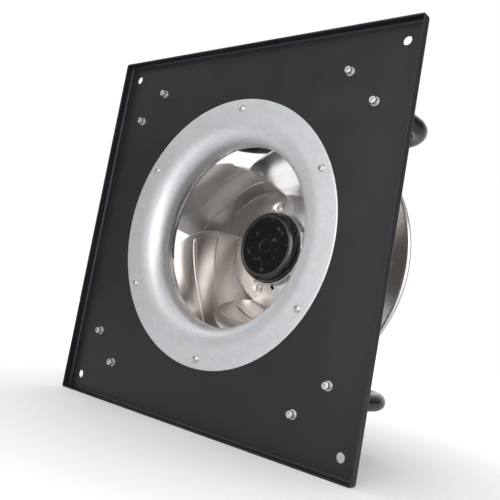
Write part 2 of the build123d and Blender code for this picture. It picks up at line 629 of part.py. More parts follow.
def gland_nut(x):
    """A domed nut that closes on the gland's lower thread."""
    top = GLAND_PAD_Z - GLAND_HEX_HEIGHT
    nut = Pos(x, GLAND_Y, top - GLAND_NUT_HEIGHT / 2) * Cylinder(GLAND_NUT_RADIUS, GLAND_NUT_HEIGHT)
    nut = fillet(nut.faces().sort_by(Axis.Z)[0].edges(), GLAND_NUT_HEIGHT / 3)
    depth = GLAND_HEX_HEIGHT + GLAND_NUT_HEIGHT / 2
    nut -= Pos(x, GLAND_Y, top - depth / 2) * Cylinder(GLAND_THREAD_RADIUS, depth)
    return nut - Pos(x, GLAND_Y, top) * Cylinder(GLAND_BORE_RADIUS + GLAND_NUT_BORE_GAP, 4 * GLAND_NUT_HEIGHT)


def circuit_board():
    board = rod(0, 0, BOARD_Y, BOARD_Y + BOARD_THICKNESS, BOARD_RADIUS)
    return board - rod(0, 0, BOARD_Y, BOARD_Y + BOARD_THICKNESS, BEARING_RADIUS)


def board_parts():
    """Capacitors, a ring choke and a power block that stand on the board."""
    base = BOARD_Y + BOARD_THICKNESS
    circle = BOARD_RADIUS - CAPACITOR_INSET
    parts = []
    for angle in CAPACITOR_ANGLES:
        x, z = on_circle(circle, angle)
        parts.append(rod(x, z, base, base + CAPACITOR_HEIGHT, CAPACITOR_RADIUS))
    x, z = on_circle(circle, CHOKE_ANGLE)
    parts.append(pipe(x, z, base, base + CHOKE_HEIGHT, CHOKE_RADIUS, CHOKE_HOLE_RADIUS))
    x, z = on_circle(circle, POWER_BLOCK_ANGLE)
    wide, high = POWER_BLOCK_LENGTH / 2, POWER_BLOCK_WIDTH / 2
    parts.append(block(x - wide, x + wide, base, base + CHOKE_HEIGHT, z - high, z + high))
    return group(parts)


def cover_seal():
    outer = POT_RADIUS - SEAL_MARGIN
    inner = POT_BORE_RADIUS + SEAL_MARGIN
    seal = pipe(0, 0, POT_END_Y, COVER_Y, outer, inner)
    for x, z in cover_screw_places():
        seal -= rod(x, z, POT_END_Y, COVER_Y, M4_RADIUS)
    return seal


def electronics_cover():
    """A round lid with a raised crown."""
    lid_y = COVER_Y + COVER_THICKNESS
    lid = rod(0, 0, COVER_Y, lid_y, POT_RADIUS)
    crown = rod(0, 0, lid_y, lid_y + COVER_CROWN_HEIGHT, COVER_CROWN_RADIUS)
    crown = fillet(crown.faces().sort_by(Axis.Y)[-1].edges(), COVER_CROWN_HEIGHT / 2)
    lid += crown
    lid -= rod(0, 0, COVER_Y, COVER_Y + COVER_CROWN_HEIGHT, COVER_CROWN_RADIUS - COVER_THICKNESS)
    for x, z in cover_screw_places():
        lid -= rod(x, z, COVER_Y, lid_y, M4_RADIUS)
    return lid


def cover_screws():
    seat = COVER_Y + COVER_THICKNESS
    tip = POT_END_Y - COVER_SCREW_DEPTH + THREAD_PAST_END
    size = (M4_RADIUS, M4_HEAD_RADIUS, M4_HEAD_HEIGHT)
    return group([pan_head_screw(x, z, seat, tip, *size) for x, z in cover_screw_places()])


def tooth(width, start, end, y0, y1, index):
    """A straight bar out from the shaft, one of the evenly turned set."""
    bar = block(start, end, y0, y1, -width / 2, width / 2)
    return Rot(0, -360.0 * index / TOOTH_COUNT, 0) * bar


def sector(start, end, y0, y1, middle_angle, angle):
    """A piece of ring between two angles."""
    half = radians(angle / 2)
    reach = end / cos(half) + CUT_MARGIN
    low = (reach * cos(half), -reach * sin(half))
    high = (reach * cos(half), reach * sin(half))
    wedge = Polyline((0, 0), low, high, close=True)
    plane = Plane((0, y0, 0), x_dir=(1, 0, 0), z_dir=(0, 1, 0))
    cut = extrude(plane * make_face(wedge), y1 - y0)
    return Rot(0, -middle_angle, 0) * (pipe(0, 0, y0, y1, end, start) & cut)


def stator_core():
    """Laminated core: a yoke on the bearing tube, with teeth that widen at the air gap."""
    y0, y1 = STATOR_START_Y, STATOR_END_Y
    core = pipe(0, 0, y0, y1, YOKE_RADIUS, BEARING_TUBE_RADIUS)
    tooth_start = BEARING_TUBE_RADIUS + TOOTH_SINK
    for i in range(TOOTH_COUNT):
        core += tooth(TOOTH_WIDTH, tooth_start, TOOTH_TIP_START_RADIUS + TOOTH_SINK, y0, y1, i)
        angle = 360.0 * i / TOOTH_COUNT
        core += sector(TOOTH_TIP_START_RADIUS, STATOR_RADIUS, y0, y1, angle, TOOTH_TIP_ANGLE)
    return core


def stator_coils():
    """One winding round each tooth."""
    coils = []
    for i in range(TOOTH_COUNT):
        y0, y1 = STATOR_START_Y, STATOR_END_Y
        wide = TOOTH_WIDTH + 2 * COIL_SIDE
        start, end = YOKE_RADIUS + COIL_MARGIN, TOOTH_TIP_START_RADIUS - COIL_MARGIN
        outer = tooth(wide, start, end, y0 - COIL_OVERHANG, y1 + COIL_OVERHANG, i)
        coils.append(outer - tooth(TOOTH_WIDTH, start, end, y0, y1, i))
    return group(coils)


def bearing(y):
    """Outer ring, inner ring and the sealed ball row between them."""
    bore = SHAFT_RADIUS + BEARING_RUNNING_CLEARANCE
    outer = pipe(0, 0, y, y + BEARING_WIDTH, BEARING_RADIUS, BEARING_RADIUS - BEARING_RING)
    inner = pipe(0, 0, y, y + BEARING_WIDTH, bore + BEARING_RING, bore)
    start, end = y + BEARING_ROW_INSET, y + BEARING_WIDTH - BEARING_ROW_INSET
    row = pipe(0, 0, start, end, BEARING_RADIUS - BEARING_RING, bore + BEARING_RING)
    return group([outer, inner, row])


def rotor_can():
    """A deep drawn cup over the stator, with a bolting ring round its side."""
    can = rod(0, 0, ROTOR_FRONT_Y, ROTOR_REAR_Y, ROTOR_RADIUS)
    can = fillet(can.faces().sort_by(Axis.Y)[0].edges(), ROTOR_EDGE_RADIUS)
    can += rod(0, 0, ROTOR_FLANGE_Y, ROTOR_FLANGE_Y + ROTOR_FLANGE_THICKNESS, ROTOR_FLANGE_RADIUS)
    bore = rod(0, 0, ROTOR_FRONT_Y + ROTOR_FRONT_WALL, ROTOR_REAR_Y, ROTOR_BORE_RADIUS)
    can -= fillet(bore.faces().sort_by(Axis.Y)[0].edges(), ROTOR_INNER_EDGE_RADIUS)
    can += rod(0, 0, ROTOR_FRONT_Y + ROTOR_FRONT_WALL, ROTOR_BOSS_END_Y, ROTOR_BOSS_RADIUS)
    can -= rod(0, 0, ROTOR_FRONT_Y, ROTOR_FRONT_Y + ROTOR_RECESS_DEPTH, ROTOR_RECESS_RADIUS)
    can -= rod(0, 0, ROTOR_FRONT_Y, ROTOR_BOSS_END_Y, SHAFT_RADIUS)
    for x, z in hub_screw_places():
        can -= rod(x, z, ROTOR_FLANGE_Y, ROTOR_FLANGE_Y + ROTOR_FLANGE_THICKNESS, M5_RADIUS)
    return can


def rotor_magnets():
    pitch = 360.0 / MAGNET_COUNT
    size = (ROTOR_BORE_RADIUS - MAGNET_THICKNESS, ROTOR_BORE_RADIUS, MAGNET_START_Y, MAGNET_END_Y)
    return group([sector(*size, i * pitch, pitch - MAGNET_GAP_ANGLE) for i in range(MAGNET_COUNT)])


def motor_shaft():
    """A plain shaft with a groove for its clip behind the rear bearing."""
    shaft = rod(0, 0, SHAFT_FRONT_Y, SHAFT_REAR_Y, SHAFT_RADIUS)
    groove_end = CLIP_Y + CLIP_THICKNESS
    return shaft - pipe(0, 0, CLIP_Y, groove_end, SHAFT_RADIUS + CUT_MARGIN, SHAFT_RADIUS - CLIP_DEPTH)


def shaft_clip():
    return pipe(0, 0, CLIP_Y, CLIP_Y + CLIP_THICKNESS, CLIP_RADIUS, SHAFT_RADIUS - CLIP_DEPTH)


def shroud_curve(depth_into_sheet):
    """Points of the shroud's section: inlet, start, middle and end of the bend, and the rim."""
    bend = SHROUD_BEND_RADIUS - depth_into_sheet
    centre_radius = SHROUD_INLET_RADIUS + SHROUD_BEND_RADIUS
    turn = SHROUD_BEND_TURN

    def at(angle):
        return centre_radius - bend * cos(radians(angle)), SHROUD_BEND_Y + bend * sin(radians(angle))

    end = at(turn)
    rim_y = end[1] + (IMPELLER_RADIUS - end[0]) * tan(radians(90 - turn))
    return [(at(0)[0], SHROUD_INLET_Y), at(0), at(turn / 2), end, (IMPELLER_RADIUS, rim_y)]


def impeller_shroud():
    """A spun ring: a short inlet collar that bends out into a shallow cone."""
    air = shroud_curve(0)
    out = shroud_curve(SHEET_THICKNESS)
    profile = [
        Line(air[0], air[1]),
        ThreePointArc(air[1], air[2], air[3]),
        Line(air[3], air[4]),
        Line(air[4], out[4]),
        Line(out[4], out[3]),
        ThreePointArc(out[3], out[2], out[1]),
        Line(out[1], out[0]),
        Line(out[0], air[0]),
    ]
    return turned(profile)


def hub_curve(depth_into_sheet):
    """The back plate's section: a shallow cone to the hub ring, then a long curve back to the rim."""
    out = IMPELLER_RADIUS - BACK_PLATE_RING_RADIUS
    back = BACK_PLATE_RIM_Y - BACK_PLATE_RING_Y
    points = [(BACK_PLATE_OPENING_RADIUS, BACK_PLATE_OPENING_Y), (BACK_PLATE_RING_RADIUS, BACK_PLATE_RING_Y)]
    for share_out, share_back in BACK_PLATE_CURVE:
        points.append((BACK_PLATE_RING_RADIUS + share_out * out, BACK_PLATE_RING_Y + share_back * back))
    points.append((IMPELLER_RADIUS, BACK_PLATE_RIM_Y))
    moved = []
    for i, (radius, y) in enumerate(points):
        before = points[max(i - 1, 0)]
        after = points[min(i + 1, len(points) - 1)]
        run, rise = after[0] - before[0], after[1] - before[1]
        length = hypot(run, rise)
        moved.append((radius - depth_into_sheet * rise / length, y + depth_into_sheet * run / length))
    moved[0] = (points[0][0], moved[0][1])
    moved[-1] = (points[-1][0], moved[-1][1])
    return moved


def hub_edges(depth_into_sheet):
    points = hub_curve(depth_into_sheet)
    return [Line(points[0], points[1]), Spline(*points[1:])]


def hub_collar():
    """The ring drawn forward round the rotor, with a rounded lip and a fillet down to the cone."""
    inner, outer = HUB_COLLAR_BORE_RADIUS, BACK_PLATE_OPENING_RADIUS
    lip = HUB_COLLAR_WALL / 2
    lip_y = HUB_COLLAR_FRONT_Y + lip
    slant = degrees(atan(CONE_SLOPE))
    centre_y = BACK_PLATE_OPENING_Y + HUB_COLLAR_FILLET * (CONE_SLOPE - 1 / cos(radians(slant)))

    def on_fillet(angle):
        out, back = HUB_COLLAR_FILLET * cos(radians(angle)), HUB_COLLAR_FILLET * sin(radians(angle))
        return outer + HUB_COLLAR_FILLET + out, centre_y + back

    end = on_fillet(90 + slant)
    inside = (end[0], end[1] + BACK_PLATE_THICKNESS / 2)
    foot = (inner, BACK_PLATE_OPENING_Y + BACK_PLATE_THICKNESS / 2)
    profile = [
        Line(foot, (inner, lip_y)),
        ThreePointArc((inner, lip_y), (inner + lip, HUB_COLLAR_FRONT_Y), (outer, lip_y)),
        Line((outer, lip_y), on_fillet(180)),
        ThreePointArc(on_fillet(180), on_fillet(135 + slant / 2), end),
        Line(end, inside),
        Line(inside, foot),
    ]
    return turned(profile)


def impeller_back_plate():
    """The dished disc, with a collar round the rotor and a pressed pocket round each hub screw."""
    face = hub_curve(0)
    back = hub_curve(BACK_PLATE_THICKNESS)
    ends = [Line(face[-1], back[-1]), Line(back[0], face[0])]
    plate = turned(hub_edges(0) + hub_edges(BACK_PLATE_THICKNESS) + ends) + hub_collar()
    floor = ROTOR_FLANGE_Y - BACK_PLATE_THICKNESS
    front = BACK_PLATE_OPENING_Y
    slant = DIMPLE_MOUTH_RADIUS - DIMPLE_FLOOR_RADIUS
    mouth = DIMPLE_MOUTH_RADIUS + slant * (DIMPLE_FACE_Y - front) / DIMPLE_DEPTH
    cut = turned_outline(((0, front), (mouth, front), (DIMPLE_FLOOR_RADIUS, floor), (0, floor)))
    thick = SHEET_THICKNESS
    cup_start = DIMPLE_FACE_Y + BACK_PLATE_THICKNESS / 2
    cup = turned_outline(
        (
            (0, cup_start),
            (DIMPLE_MOUTH_RADIUS + thick, cup_start),
            (DIMPLE_FLOOR_RADIUS + thick, ROTOR_FLANGE_Y),
            (0, ROTOR_FLANGE_Y),
        )
    )
    for x, z in hub_screw_places():
        plate += Pos(x, 0, z) * cup
        plate -= Pos(x, 0, z) * cut
        plate -= rod(x, z, front, ROTOR_FLANGE_Y, M5_RADIUS + HOLE_CLEARANCE)
    hole_start = HUB_COLLAR_FRONT_Y
    plate -= rod(*on_circle(*BALANCE_HOLE_PLACE), hole_start, ROTOR_FLANGE_Y, BALANCE_HOLE_RADIUS)
    return plate


def hub_screws():
    """Screws that hold the back plate's pockets on the rotor's ring."""
    seat = ROTOR_FLANGE_Y - BACK_PLATE_THICKNESS
    tip = ROTOR_FLANGE_Y + ROTOR_FLANGE_THICKNESS + THREAD_PAST_END / 2
    size = (M5_RADIUS, HUB_SCREW_HEAD_RADIUS, HUB_SCREW_HEAD_HEIGHT)
    return group([pan_head_screw(x, z, seat, tip, *size) for x, z in hub_screw_places()])


def along_edge(values, span):
    """A cubic curve's value between the back plate at 0 and the shroud at 1, and straight on past 1."""
    share = min(span, 1)
    rest = 1 - share
    a, b, c, d = values
    curve = a * rest**3 + 3 * b * share * rest**2 + 3 * c * share**2 * rest + d * share**3
    return curve + 3 * (d - c) * (span - share)


def blade_point(along, span):
    """A point of the blade's face: along goes from leading edge to tip, span from back plate to shroud."""

    def between(pair):
        return pair[0] + (pair[1] - pair[0]) * span

    x0, z0 = on_circle(along_edge(EDGE_RADII, span), along_edge(EDGE_ANGLES, span))
    x1, z1 = on_circle(BLADE_TIP_RADIUS, between(TIP_ANGLES))
    y0, y1 = along_edge(EDGE_DEPTHS, span), between(TIP_DEPTHS)
    run_x, run_z = x1 - x0, z1 - z0
    bow = 2 * between(BLADE_BOWS) / hypot(run_x, run_z)
    middle_x = x0 + run_x * BLADE_BOW_PLACE + run_z * bow
    middle_z = z0 + run_z * BLADE_BOW_PLACE - run_x * bow
    rest = 1 - along
    x = rest**2 * x0 + 2 * along * rest * middle_x + along**2 * x1
    z = rest**2 * z0 + 2 * along * rest * middle_z + along**2 * z1
    return Vector(x, y0 + (y1 - y0) * along ** between(BLADE_RISES), z)


def spread(start, end, count):
    return [start + (end - start) * i / (count - 1) for i in range(count)]


def flow_channel():
    """The space between back plate and shroud, which trims the blades to touch both."""
    face = hub_curve(0)
    air = shroud_curve(0)
    collar_front = (air[1][0], CHANNEL_FRONT_Y)
    corner = (face[0][0], CHANNEL_FRONT_Y)
    profile = [
        *hub_edges(0),
        Line(face[-1], air[4]),
        Line(air[4], air[3]),
        ThreePointArc(air[3], air[2], air[1]),
        Line(air[1], collar_front),
        Line(collar_front, corner),
        Line(corner, face[0]),
    ]
    return turned(profile)


def blade_rib(ends):
    """An embossed rib with bevelled sides that follows the blade's face."""
    points = []
    for along in spread(RIB_START, RIB_END, RIB_POINT_COUNT):
        points.append(blade_point(along, ends[0] + (ends[1] - ends[0]) * along))
    path = Spline(*points)
    start = Plane(origin=path @ 0, z_dir=path % 0)
    return sweep(start * RegularPolygon(RIB_RADIUS, RIB_SIDE_COUNT), path=path)


def impeller_blades():
    """Five bowed sheets, cut to the channel and stiffened by embossed ribs."""
    rows = []
    spans = spread(BLADE_SPAN_START, BLADE_SPAN_END, BLADE_ROW_COUNT)
    for along in spread(0, 1, BLADE_COLUMN_COUNT):
        rows.append([blade_point(along, span) for span in spans])
    face = Face.make_surface_from_array_of_points(rows)
    blade = thicken(face, SHEET_THICKNESS)
    for ends in RIB_SPANS:
        blade += blade_rib(ends)
    blade &= flow_channel()
    return group([Rot(0, -BLADE_PITCH * i, 0) * blade for i in range(BLADE_COUNT)])


def main():
    os.makedirs("parts", exist_ok=True)
    bracket = motor_bracket()
    filled_tubes = [bent_tube(TUBE_Z, bore=False), bent_tube(-TUBE_Z, bore=False)]
    nodes = {
        "front_plate": front_plate(),
        "inlet_nozzle": inlet_nozzle(),
        "nozzle_screws": nozzle_screws(),
        "strut_tube_upper": bent_tube(TUBE_Z),
        "strut_tube_lower": bent_tube(-TUBE_Z),
        "strut_feet": strut_feet(),
        "strut_welds": strut_welds(),
        "strut_bolts": strut_bolts(),
        "strut_washers": strut_washers(),
        "spring_washers": spring_washers(),
        "motor_bracket": bracket,
        "bracket_welds": bracket_welds(bracket, filled_tubes),
        "bracket_bolts": bracket_bolts(),
        "stator_flange": stator_flange(),
        "electronics_pot": electronics_pot(),
        "pot_screws": pot_screws(),
        "gland_bodies": group([gland_body(-GLAND_X), gland_body(GLAND_X)]),
        "gland_nuts": group([gland_nut(-GLAND_X), gland_nut(GLAND_X)]),
        "circuit_board": circuit_board(),
        "board_parts": board_parts(),
        "cover_seal": cover_seal(),
        "electronics_cover": electronics_cover(),
        "cover_screws": cover_screws(),
        "stator_core": stator_core(),
        "stator_coils": stator_coils(),
        "front_bearing": bearing(FRONT_BEARING_Y),
        "rear_bearing": bearing(REAR_BEARING_Y),
        "rotor_can": rotor_can(),
        "rotor_magnets": rotor_magnets(),
        "motor_shaft": motor_shaft(),
        "shaft_clip": shaft_clip(),
        "impeller_shroud": impeller_shroud(),
        "impeller_back_plate": impeller_back_plate(),
        "impeller_blades": impeller_blades(),
        "hub_screws": hub_screws(),
    }
    for name, shape in nodes.items():
        export_step(shape, f"parts/{name}.step")


main()
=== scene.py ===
import math
import bmesh
import bpy
import numpy as np
from mathutils import Matrix, Vector


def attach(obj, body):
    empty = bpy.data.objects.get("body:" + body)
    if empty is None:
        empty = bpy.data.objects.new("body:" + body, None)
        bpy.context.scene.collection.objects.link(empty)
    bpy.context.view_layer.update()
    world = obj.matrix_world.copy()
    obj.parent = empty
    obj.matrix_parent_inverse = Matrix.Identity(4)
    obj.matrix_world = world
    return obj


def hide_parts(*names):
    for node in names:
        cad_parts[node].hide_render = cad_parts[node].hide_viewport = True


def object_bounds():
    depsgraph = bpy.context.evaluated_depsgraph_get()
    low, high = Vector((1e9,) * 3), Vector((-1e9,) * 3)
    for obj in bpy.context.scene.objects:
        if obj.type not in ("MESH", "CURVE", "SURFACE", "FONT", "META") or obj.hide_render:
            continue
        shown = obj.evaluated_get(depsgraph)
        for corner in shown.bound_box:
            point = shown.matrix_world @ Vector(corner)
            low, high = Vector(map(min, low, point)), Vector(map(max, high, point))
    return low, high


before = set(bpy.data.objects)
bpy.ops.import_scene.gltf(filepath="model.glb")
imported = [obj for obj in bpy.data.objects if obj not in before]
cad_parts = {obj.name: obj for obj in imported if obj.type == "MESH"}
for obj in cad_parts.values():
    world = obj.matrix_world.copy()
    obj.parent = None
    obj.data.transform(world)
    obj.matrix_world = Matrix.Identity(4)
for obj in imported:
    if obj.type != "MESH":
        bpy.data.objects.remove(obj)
cad_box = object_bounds()

# Plug fan in its own frame, in metres: X right seen from the inlet, Y backward along the shaft, Z up.
# The origin is the shaft's axis on the plate's front face.

MM = 0.001
STILL = "frame"
TURNING = "impeller"

# Plate and nozzle
NOZZLE_THICKNESS = 0.0015
NOZZLE_FLANGE_RADIUS = 0.177
NOZZLE_BELL_START_RADIUS = 0.152
NOZZLE_THROAT_RADIUS = 0.1221
NOZZLE_OUTER_ARC_RADIUS = 0.055
NOZZLE_OUTER_ARC_TURN = 15.0
NOZZLE_END_Y = 0.034
BURNISHED_DEPTHS = (0.022, 0.030)
BURNISHED_ROUGHNESS = 0.14
NOZZLE_SCREW_CIRCLE_RADIUS = 0.1645
NOZZLE_SCREW_COUNT = 6
NOZZLE_SCREW_FIRST_ANGLE = 30.0
NOZZLE_STEPS = 240

# Tubes and the screws of their feet
TUBE_RADIUS = 0.011
TUBE_X = 0.179
TUBE_Z = 0.178
TUBE_START_Y = 0.008
TUBE_BACK_Y = 0.1939
TUBE_BEND_RADIUS = 0.0624
FOOT_BOLT_REACH = 0.0197
WASHER_THICKNESS = 0.0012
WASHER_RADIUS = 0.0055
WASHER_BORE_RADIUS = 0.0028
SPRING_WASHER_THICKNESS = 0.0016
SPRING_WASHER_RADIUS = 0.0046
SPRING_WASHER_HALF_SLIT = 9
SPRING_WASHER_CLIMB = 0.12
GOLDEN_ANGLE = 137.508

# Screws: radius, height and recess of the head, then radius, end, pitch and ridges of the thread
FOOT_SCREW_HEAD = (4.25 * MM, 5.0 * MM, 2.3 * MM)
FOOT_SCREW_THREAD = (2.5 * MM, 0.010, 0.8 * MM, 8)
NOZZLE_SCREW_HEAD = (4.7 * MM, 2.9 * MM, 2.3 * MM)
NOZZLE_SCREW_THREAD = (2.0 * MM, 0.004, 0.7 * MM, 4)
HUB_SCREW_HEAD = (4.6 * MM, 3.0 * MM, 2.3 * MM)
HUB_SCREW_THREAD = (2.5 * MM, 0.1347, 0.8 * MM, 5)
FASTENER_SHARP = 30

# Impeller
SHEET_THICKNESS = 0.002
IMPELLER_RADIUS = 0.183
SHROUD_INLET_RADIUS = 0.125
SHROUD_INLET_Y = 0.029
SHROUD_BEND_Y = 0.036
SHROUD_BEND_RADIUS = 0.012
SHROUD_BEND_TURN = 50.0
SHROUD_STEPS = 300
BACK_PLATE_THICKNESS = 0.0025
BACK_PLATE_OPENING = (0.0518, 0.1205)
BACK_PLATE_RING = (0.082, 0.1295)
BACK_PLATE_RIM = (0.183, 0.1665)
BACK_PLATE_CURVE = (
    (0.059, 0.116), (0.149, 0.311), (0.327, 0.578), (0.52, 0.795), (0.62, 0.90), (0.72, 0.962), (0.84, 0.992)
)
BACK_PLATE_SPACING = 0.002
BACK_PLATE_STEPS = 420
DISC_CURL = 0.0042
DISC_CURL_SHARE = 0.96
HUB_COLLAR_BORE_RADIUS = 0.0498
HUB_COLLAR_FRONT_Y = 0.1085
HUB_COLLAR_FILLET = 0.0022
BALANCE_HOLE_RADIUS = 0.0030
BALANCE_HOLE_PLACE = (0.0552, 273.5)
BALANCE_HOLE_DEPTHS = (0.10, 0.15)
HUB_SCREW_CIRCLE_RADIUS = 0.0615
HUB_SCREW_COUNT = 5
HUB_SCREW_FIRST_ANGLE = 101.7
DIMPLE_DEPTH = 0.0038
DIMPLE_MOUTH_RADIUS = 0.0118
DIMPLE_FLOOR_RADIUS = 0.0060
DIMPLE_COLLAR_GAP = 0.0015
BLADE_COUNT = 5
BLADE_TIP_RADIUS = 0.181
EDGE_RADII = (0.0853, 0.0951, 0.1042, 0.1233)
EDGE_DEPTHS = (0.1309, 0.081, 0.040, 0.040)
EDGE_ANGLES = (99.3, 95.9, 105.5, 124.4)
TIP_ANGLES = (178.8, 175.8)
TIP_DEPTHS = (0.166, 0.097)
BLADE_BOWS = (0.0273, -0.0028)
BLADE_RISES = (0.71, 1.21)
BLADE_BOW_PLACE = 0.3
BLADE_SPANS = (-0.12, 1.42)
BLADE_SPAN_TRIES = 400
BLADE_COLUMNS = 170
BLADE_ROWS = 150
BLADE_EDGE_BULGE = 0.0006
RIB_SPANS = ((0.58, 0.93), (0.25, 0.42))
RIB_ENDS = (0.05, 0.90)
RIB_HALF_WIDTH = 0.0030
RIB_FLANK = 0.0013
RIB_HEIGHT = 0.0011
RIB_FADES = (0.03, 0.02)
RIB_SHARE_BEHIND = 0.85

# Motor
ROTOR_RADIUS = 0.0495
ROTOR_WALL = 0.003
ROTOR_FRONT_Y = 0.094
ROTOR_REAR_Y = 0.170
ROTOR_EDGE_RADIUS = 0.010
ROTOR_RECESS_RADIUS = 0.0095
ROTOR_RECESS_DEPTH = 1.0 * MM
ROTOR_RECESS_SLANT = 0.6 * MM
ROTOR_RECESS_WALL_END = 0.3 * MM
ROTOR_SMALL_EDGE = 0.4 * MM
ROTOR_FACE_THICKNESS = 4 * MM
ROTOR_FLANGE_RADIUS = 0.070
ROTOR_FLANGE_Y = 0.12973
ROTOR_FLANGE_THICKNESS = 0.004
ROTOR_STEPS = 240

# Camera that the photograph's perspective gives
CAMERA_PLACE = (0.5844, -0.6103, -0.1016)
CAMERA_RIGHT = (0.7554, 0.6309, 0.1769)
CAMERA_UP = (-0.0700, -0.1908, 0.9791)
CAMERA_FORWARD = (-0.6515, 0.7520, 0.0999)
CAMERA_LENS = 47.605
CAMERA_SENSOR = 36.0
CAMERA_NEAR = 0.01

# Floor and light. A ramp's two numbers are where it starts and where it is full.
FLOOR_REACH = 6.0
# The floor's glow is weaker near the fan than far off, which paints shade round the fan for the camera and in
# reflections.
FLOOR_GLOW = (0.12, 0.85)
FLOOR_MIRRORED = (0.0, 0.10)
FLOOR_GLOW_REACH = (0.27, 1.05)
BACKDROP_AXIS = (-0.655, 0.756, 0.0)
BACKDROP_RAMP = (0.35, 0.80)
ROOM_AXIS = (-0.45, -0.10, 0.89)
ROOM_RAMP = (0.28, 0.95)
ROOM_LEVELS = (0.16, 0.80)
DARK_CARD_AXIS = (-0.69, -0.69, 0.20)
DARK_CARD_RAMP = (0.94, 0.99)
DARK_CARD_SHARE = 0.35
LAMP_AIM = (0, 0.05, 0)
LAMPS = (
    # name, place, size across and up, power in watts, colour
    ("key_light", (0.50, -1.40, 0.30), (0.72, 1.00), 8.4, (1.0, 0.99, 0.98)),
    ("front_light", (-0.34, -1.68, 0.32), (1.15, 1.15), 3.9, (1.0, 1.0, 1.0)),
    ("left_light", (-1.42, -0.34, 1.17), (1.20, 1.00), 1.9, (0.95, 0.97, 1.0)),
    ("side_light", (1.30, -0.82, 0.36), (1.10, 1.05), 8.0, (1.0, 0.99, 0.98)),
    ("top_light", (-0.20, 0.30, 1.60), (1.20, 1.00), 2.5, (1.0, 1.0, 1.0)),
)


# Outlines, as arrays of radius and depth


def arc(centre, radius, start, end, count):
    """Points on a circle between two angles in degrees: centre + radius (cos t, sin t)."""
    t = np.radians(np.linspace(start, end, count))
    return np.stack([centre[0] + radius * np.cos(t), centre[1] + radius * np.sin(t)], axis=1)


def line(start, end, count):
    """Evenly spread points from start to end."""
    share = np.linspace(0, 1, count)[:, None]
    return np.asarray(start) * (1 - share) + np.asarray(end) * share


def chain(*runs):
    """Runs of points joined end to end, without the points that would repeat."""
    return np.concatenate([runs[0]] + [run[1:] for run in runs[1:]])


def rounded(corners, radius, count=4):
    """A closed outline with each corner b replaced by the parabola (1-s)²a + 2s(1-s)b + s²c."""
    b = np.asarray(corners, float)
    to_before = np.roll(b, 1, axis=0) - b
    to_after = np.roll(b, -1, axis=0) - b
    a = b + to_before / np.linalg.norm(to_before, axis=1, keepdims=True) * radius
    c = b + to_after / np.linalg.norm(to_after, axis=1, keepdims=True) * radius
    s = np.linspace(0, 1, count)[None, :, None]
    curve = (1 - s) ** 2 * a[:, None] + 2 * s * (1 - s) * b[:, None] + s**2 * c[:, None]
    return curve.reshape(-1, 2)


def natural_spline(points, spacing):
    """A cubic through the points over their chord length, with no bend at its two ends."""
    p = np.asarray(points, float)
    h = np.linalg.norm(np.diff(p, axis=0), axis=1)
    t = np.concatenate([[0], np.cumsum(h)])
    n = len(p)
    system = np.eye(n)
    right = np.zeros_like(p)
    inner = np.arange(1, n - 1)
    system[inner, inner - 1] = h[:-1]
    system[inner, inner] = 2 * (h[:-1] + h[1:])
    system[inner, inner + 1] = h[1:]
    slopes = np.diff(p, axis=0) / h[:, None]
    right[1:-1] = 6 * np.diff(slopes, axis=0)
    bend = np.linalg.solve(system, right)
    at = np.linspace(0, t[-1], int(round(t[-1] / spacing)) + 1)
    k = np.clip(np.searchsorted(t, at, side="right") - 1, 0, n - 2)
    a, b = (t[k + 1] - at)[:, None], (at - t[k])[:, None]
    w = h[k][:, None]
    straight = (p[k] / w - bend[k] * w / 6) * a + (p[k + 1] / w - bend[k + 1] * w / 6) * b
    return straight + bend[k] * a**3 / (6 * w) + bend[k + 1] * b**3 / (6 * w)


def along_normals(curve, distance):
    """Each point of an outline moved by the distance along its normal, a quarter turn left of its run."""
    run = np.gradient(curve, axis=0)
    run /= np.linalg.norm(run, axis=1, keepdims=True)
    return curve + distance * np.stack([-run[:, 1], run[:, 0]], axis=1)


def sheet_outline(face, thickness, count=5):
    """The closed section of a sheet: its face, the face moved by the thickness, and half-ellipse edges."""
    face = face.copy()
    edge = abs(thickness) * 0.3
    first, last = face[1] - face[0], face[-1] - face[-2]
    first /= np.linalg.norm(first)
    last /= np.linalg.norm(last)
    face[0] += first * edge
    face[-1] -= last * edge
    back = along_normals(face, thickness)
    t = np.linspace(0, np.pi, count)[1:-1, None]
    end_cap = (face[-1] + back[-1]) / 2 + (face[-1] - back[-1]) / 2 * np.cos(t) + last * edge * np.sin(t)
    start_cap = (face[0] + back[0]) / 2 + (back[0] - face[0]) / 2 * np.cos(t) - first * edge * np.sin(t)
    return np.concatenate([face, end_cap, back[::-1], start_cap])


# Surfaces, as grids of points with the quads between them


def surface(points, close_rows=False, close_columns=False, uv=None):
    """Vertices, quads and texture places of a grid, which may join its last row or column to its first."""
    rows, columns = points.shape[:2]
    i, j = np.meshgrid(
        np.arange(rows if close_rows else rows - 1),
        np.arange(columns if close_columns else columns - 1),
        indexing="ij",
    )
    below, right = (i + 1) % rows, (j + 1) % columns
    quads = np.stack([i * columns + j, below * columns + j, below * columns + right, i * columns + right], -1)
    flat_uv = None if uv is None else uv.reshape(-1, 2)
    return points.reshape(-1, 3), quads.reshape(-1, 4), flat_uv


def turned(outline, steps, closed=True):
    """An outline turned round the shaft: x = r cos t, y = depth, z = r sin t."""
    t = np.arange(steps) * (2 * np.pi / steps)
    radius, depth = outline[:, :1], outline[:, 1:]
    points = np.stack([radius * np.cos(t), depth + 0 * t, radius * np.sin(t)], axis=-1)
    return surface(points, close_rows=closed, close_columns=True)


def stacked(radii, depths):
    """Rows round an axis along Y whose radius may change with the angle: one row of radii for each depth."""
    steps = radii.shape[1]
    t = np.arange(steps) * (2 * np.pi / steps)
    depth = np.broadcast_to(np.asarray(depths, float).reshape(len(radii), -1), radii.shape)
    return np.stack([radii * np.cos(t), depth, radii * np.sin(t)], axis=-1)


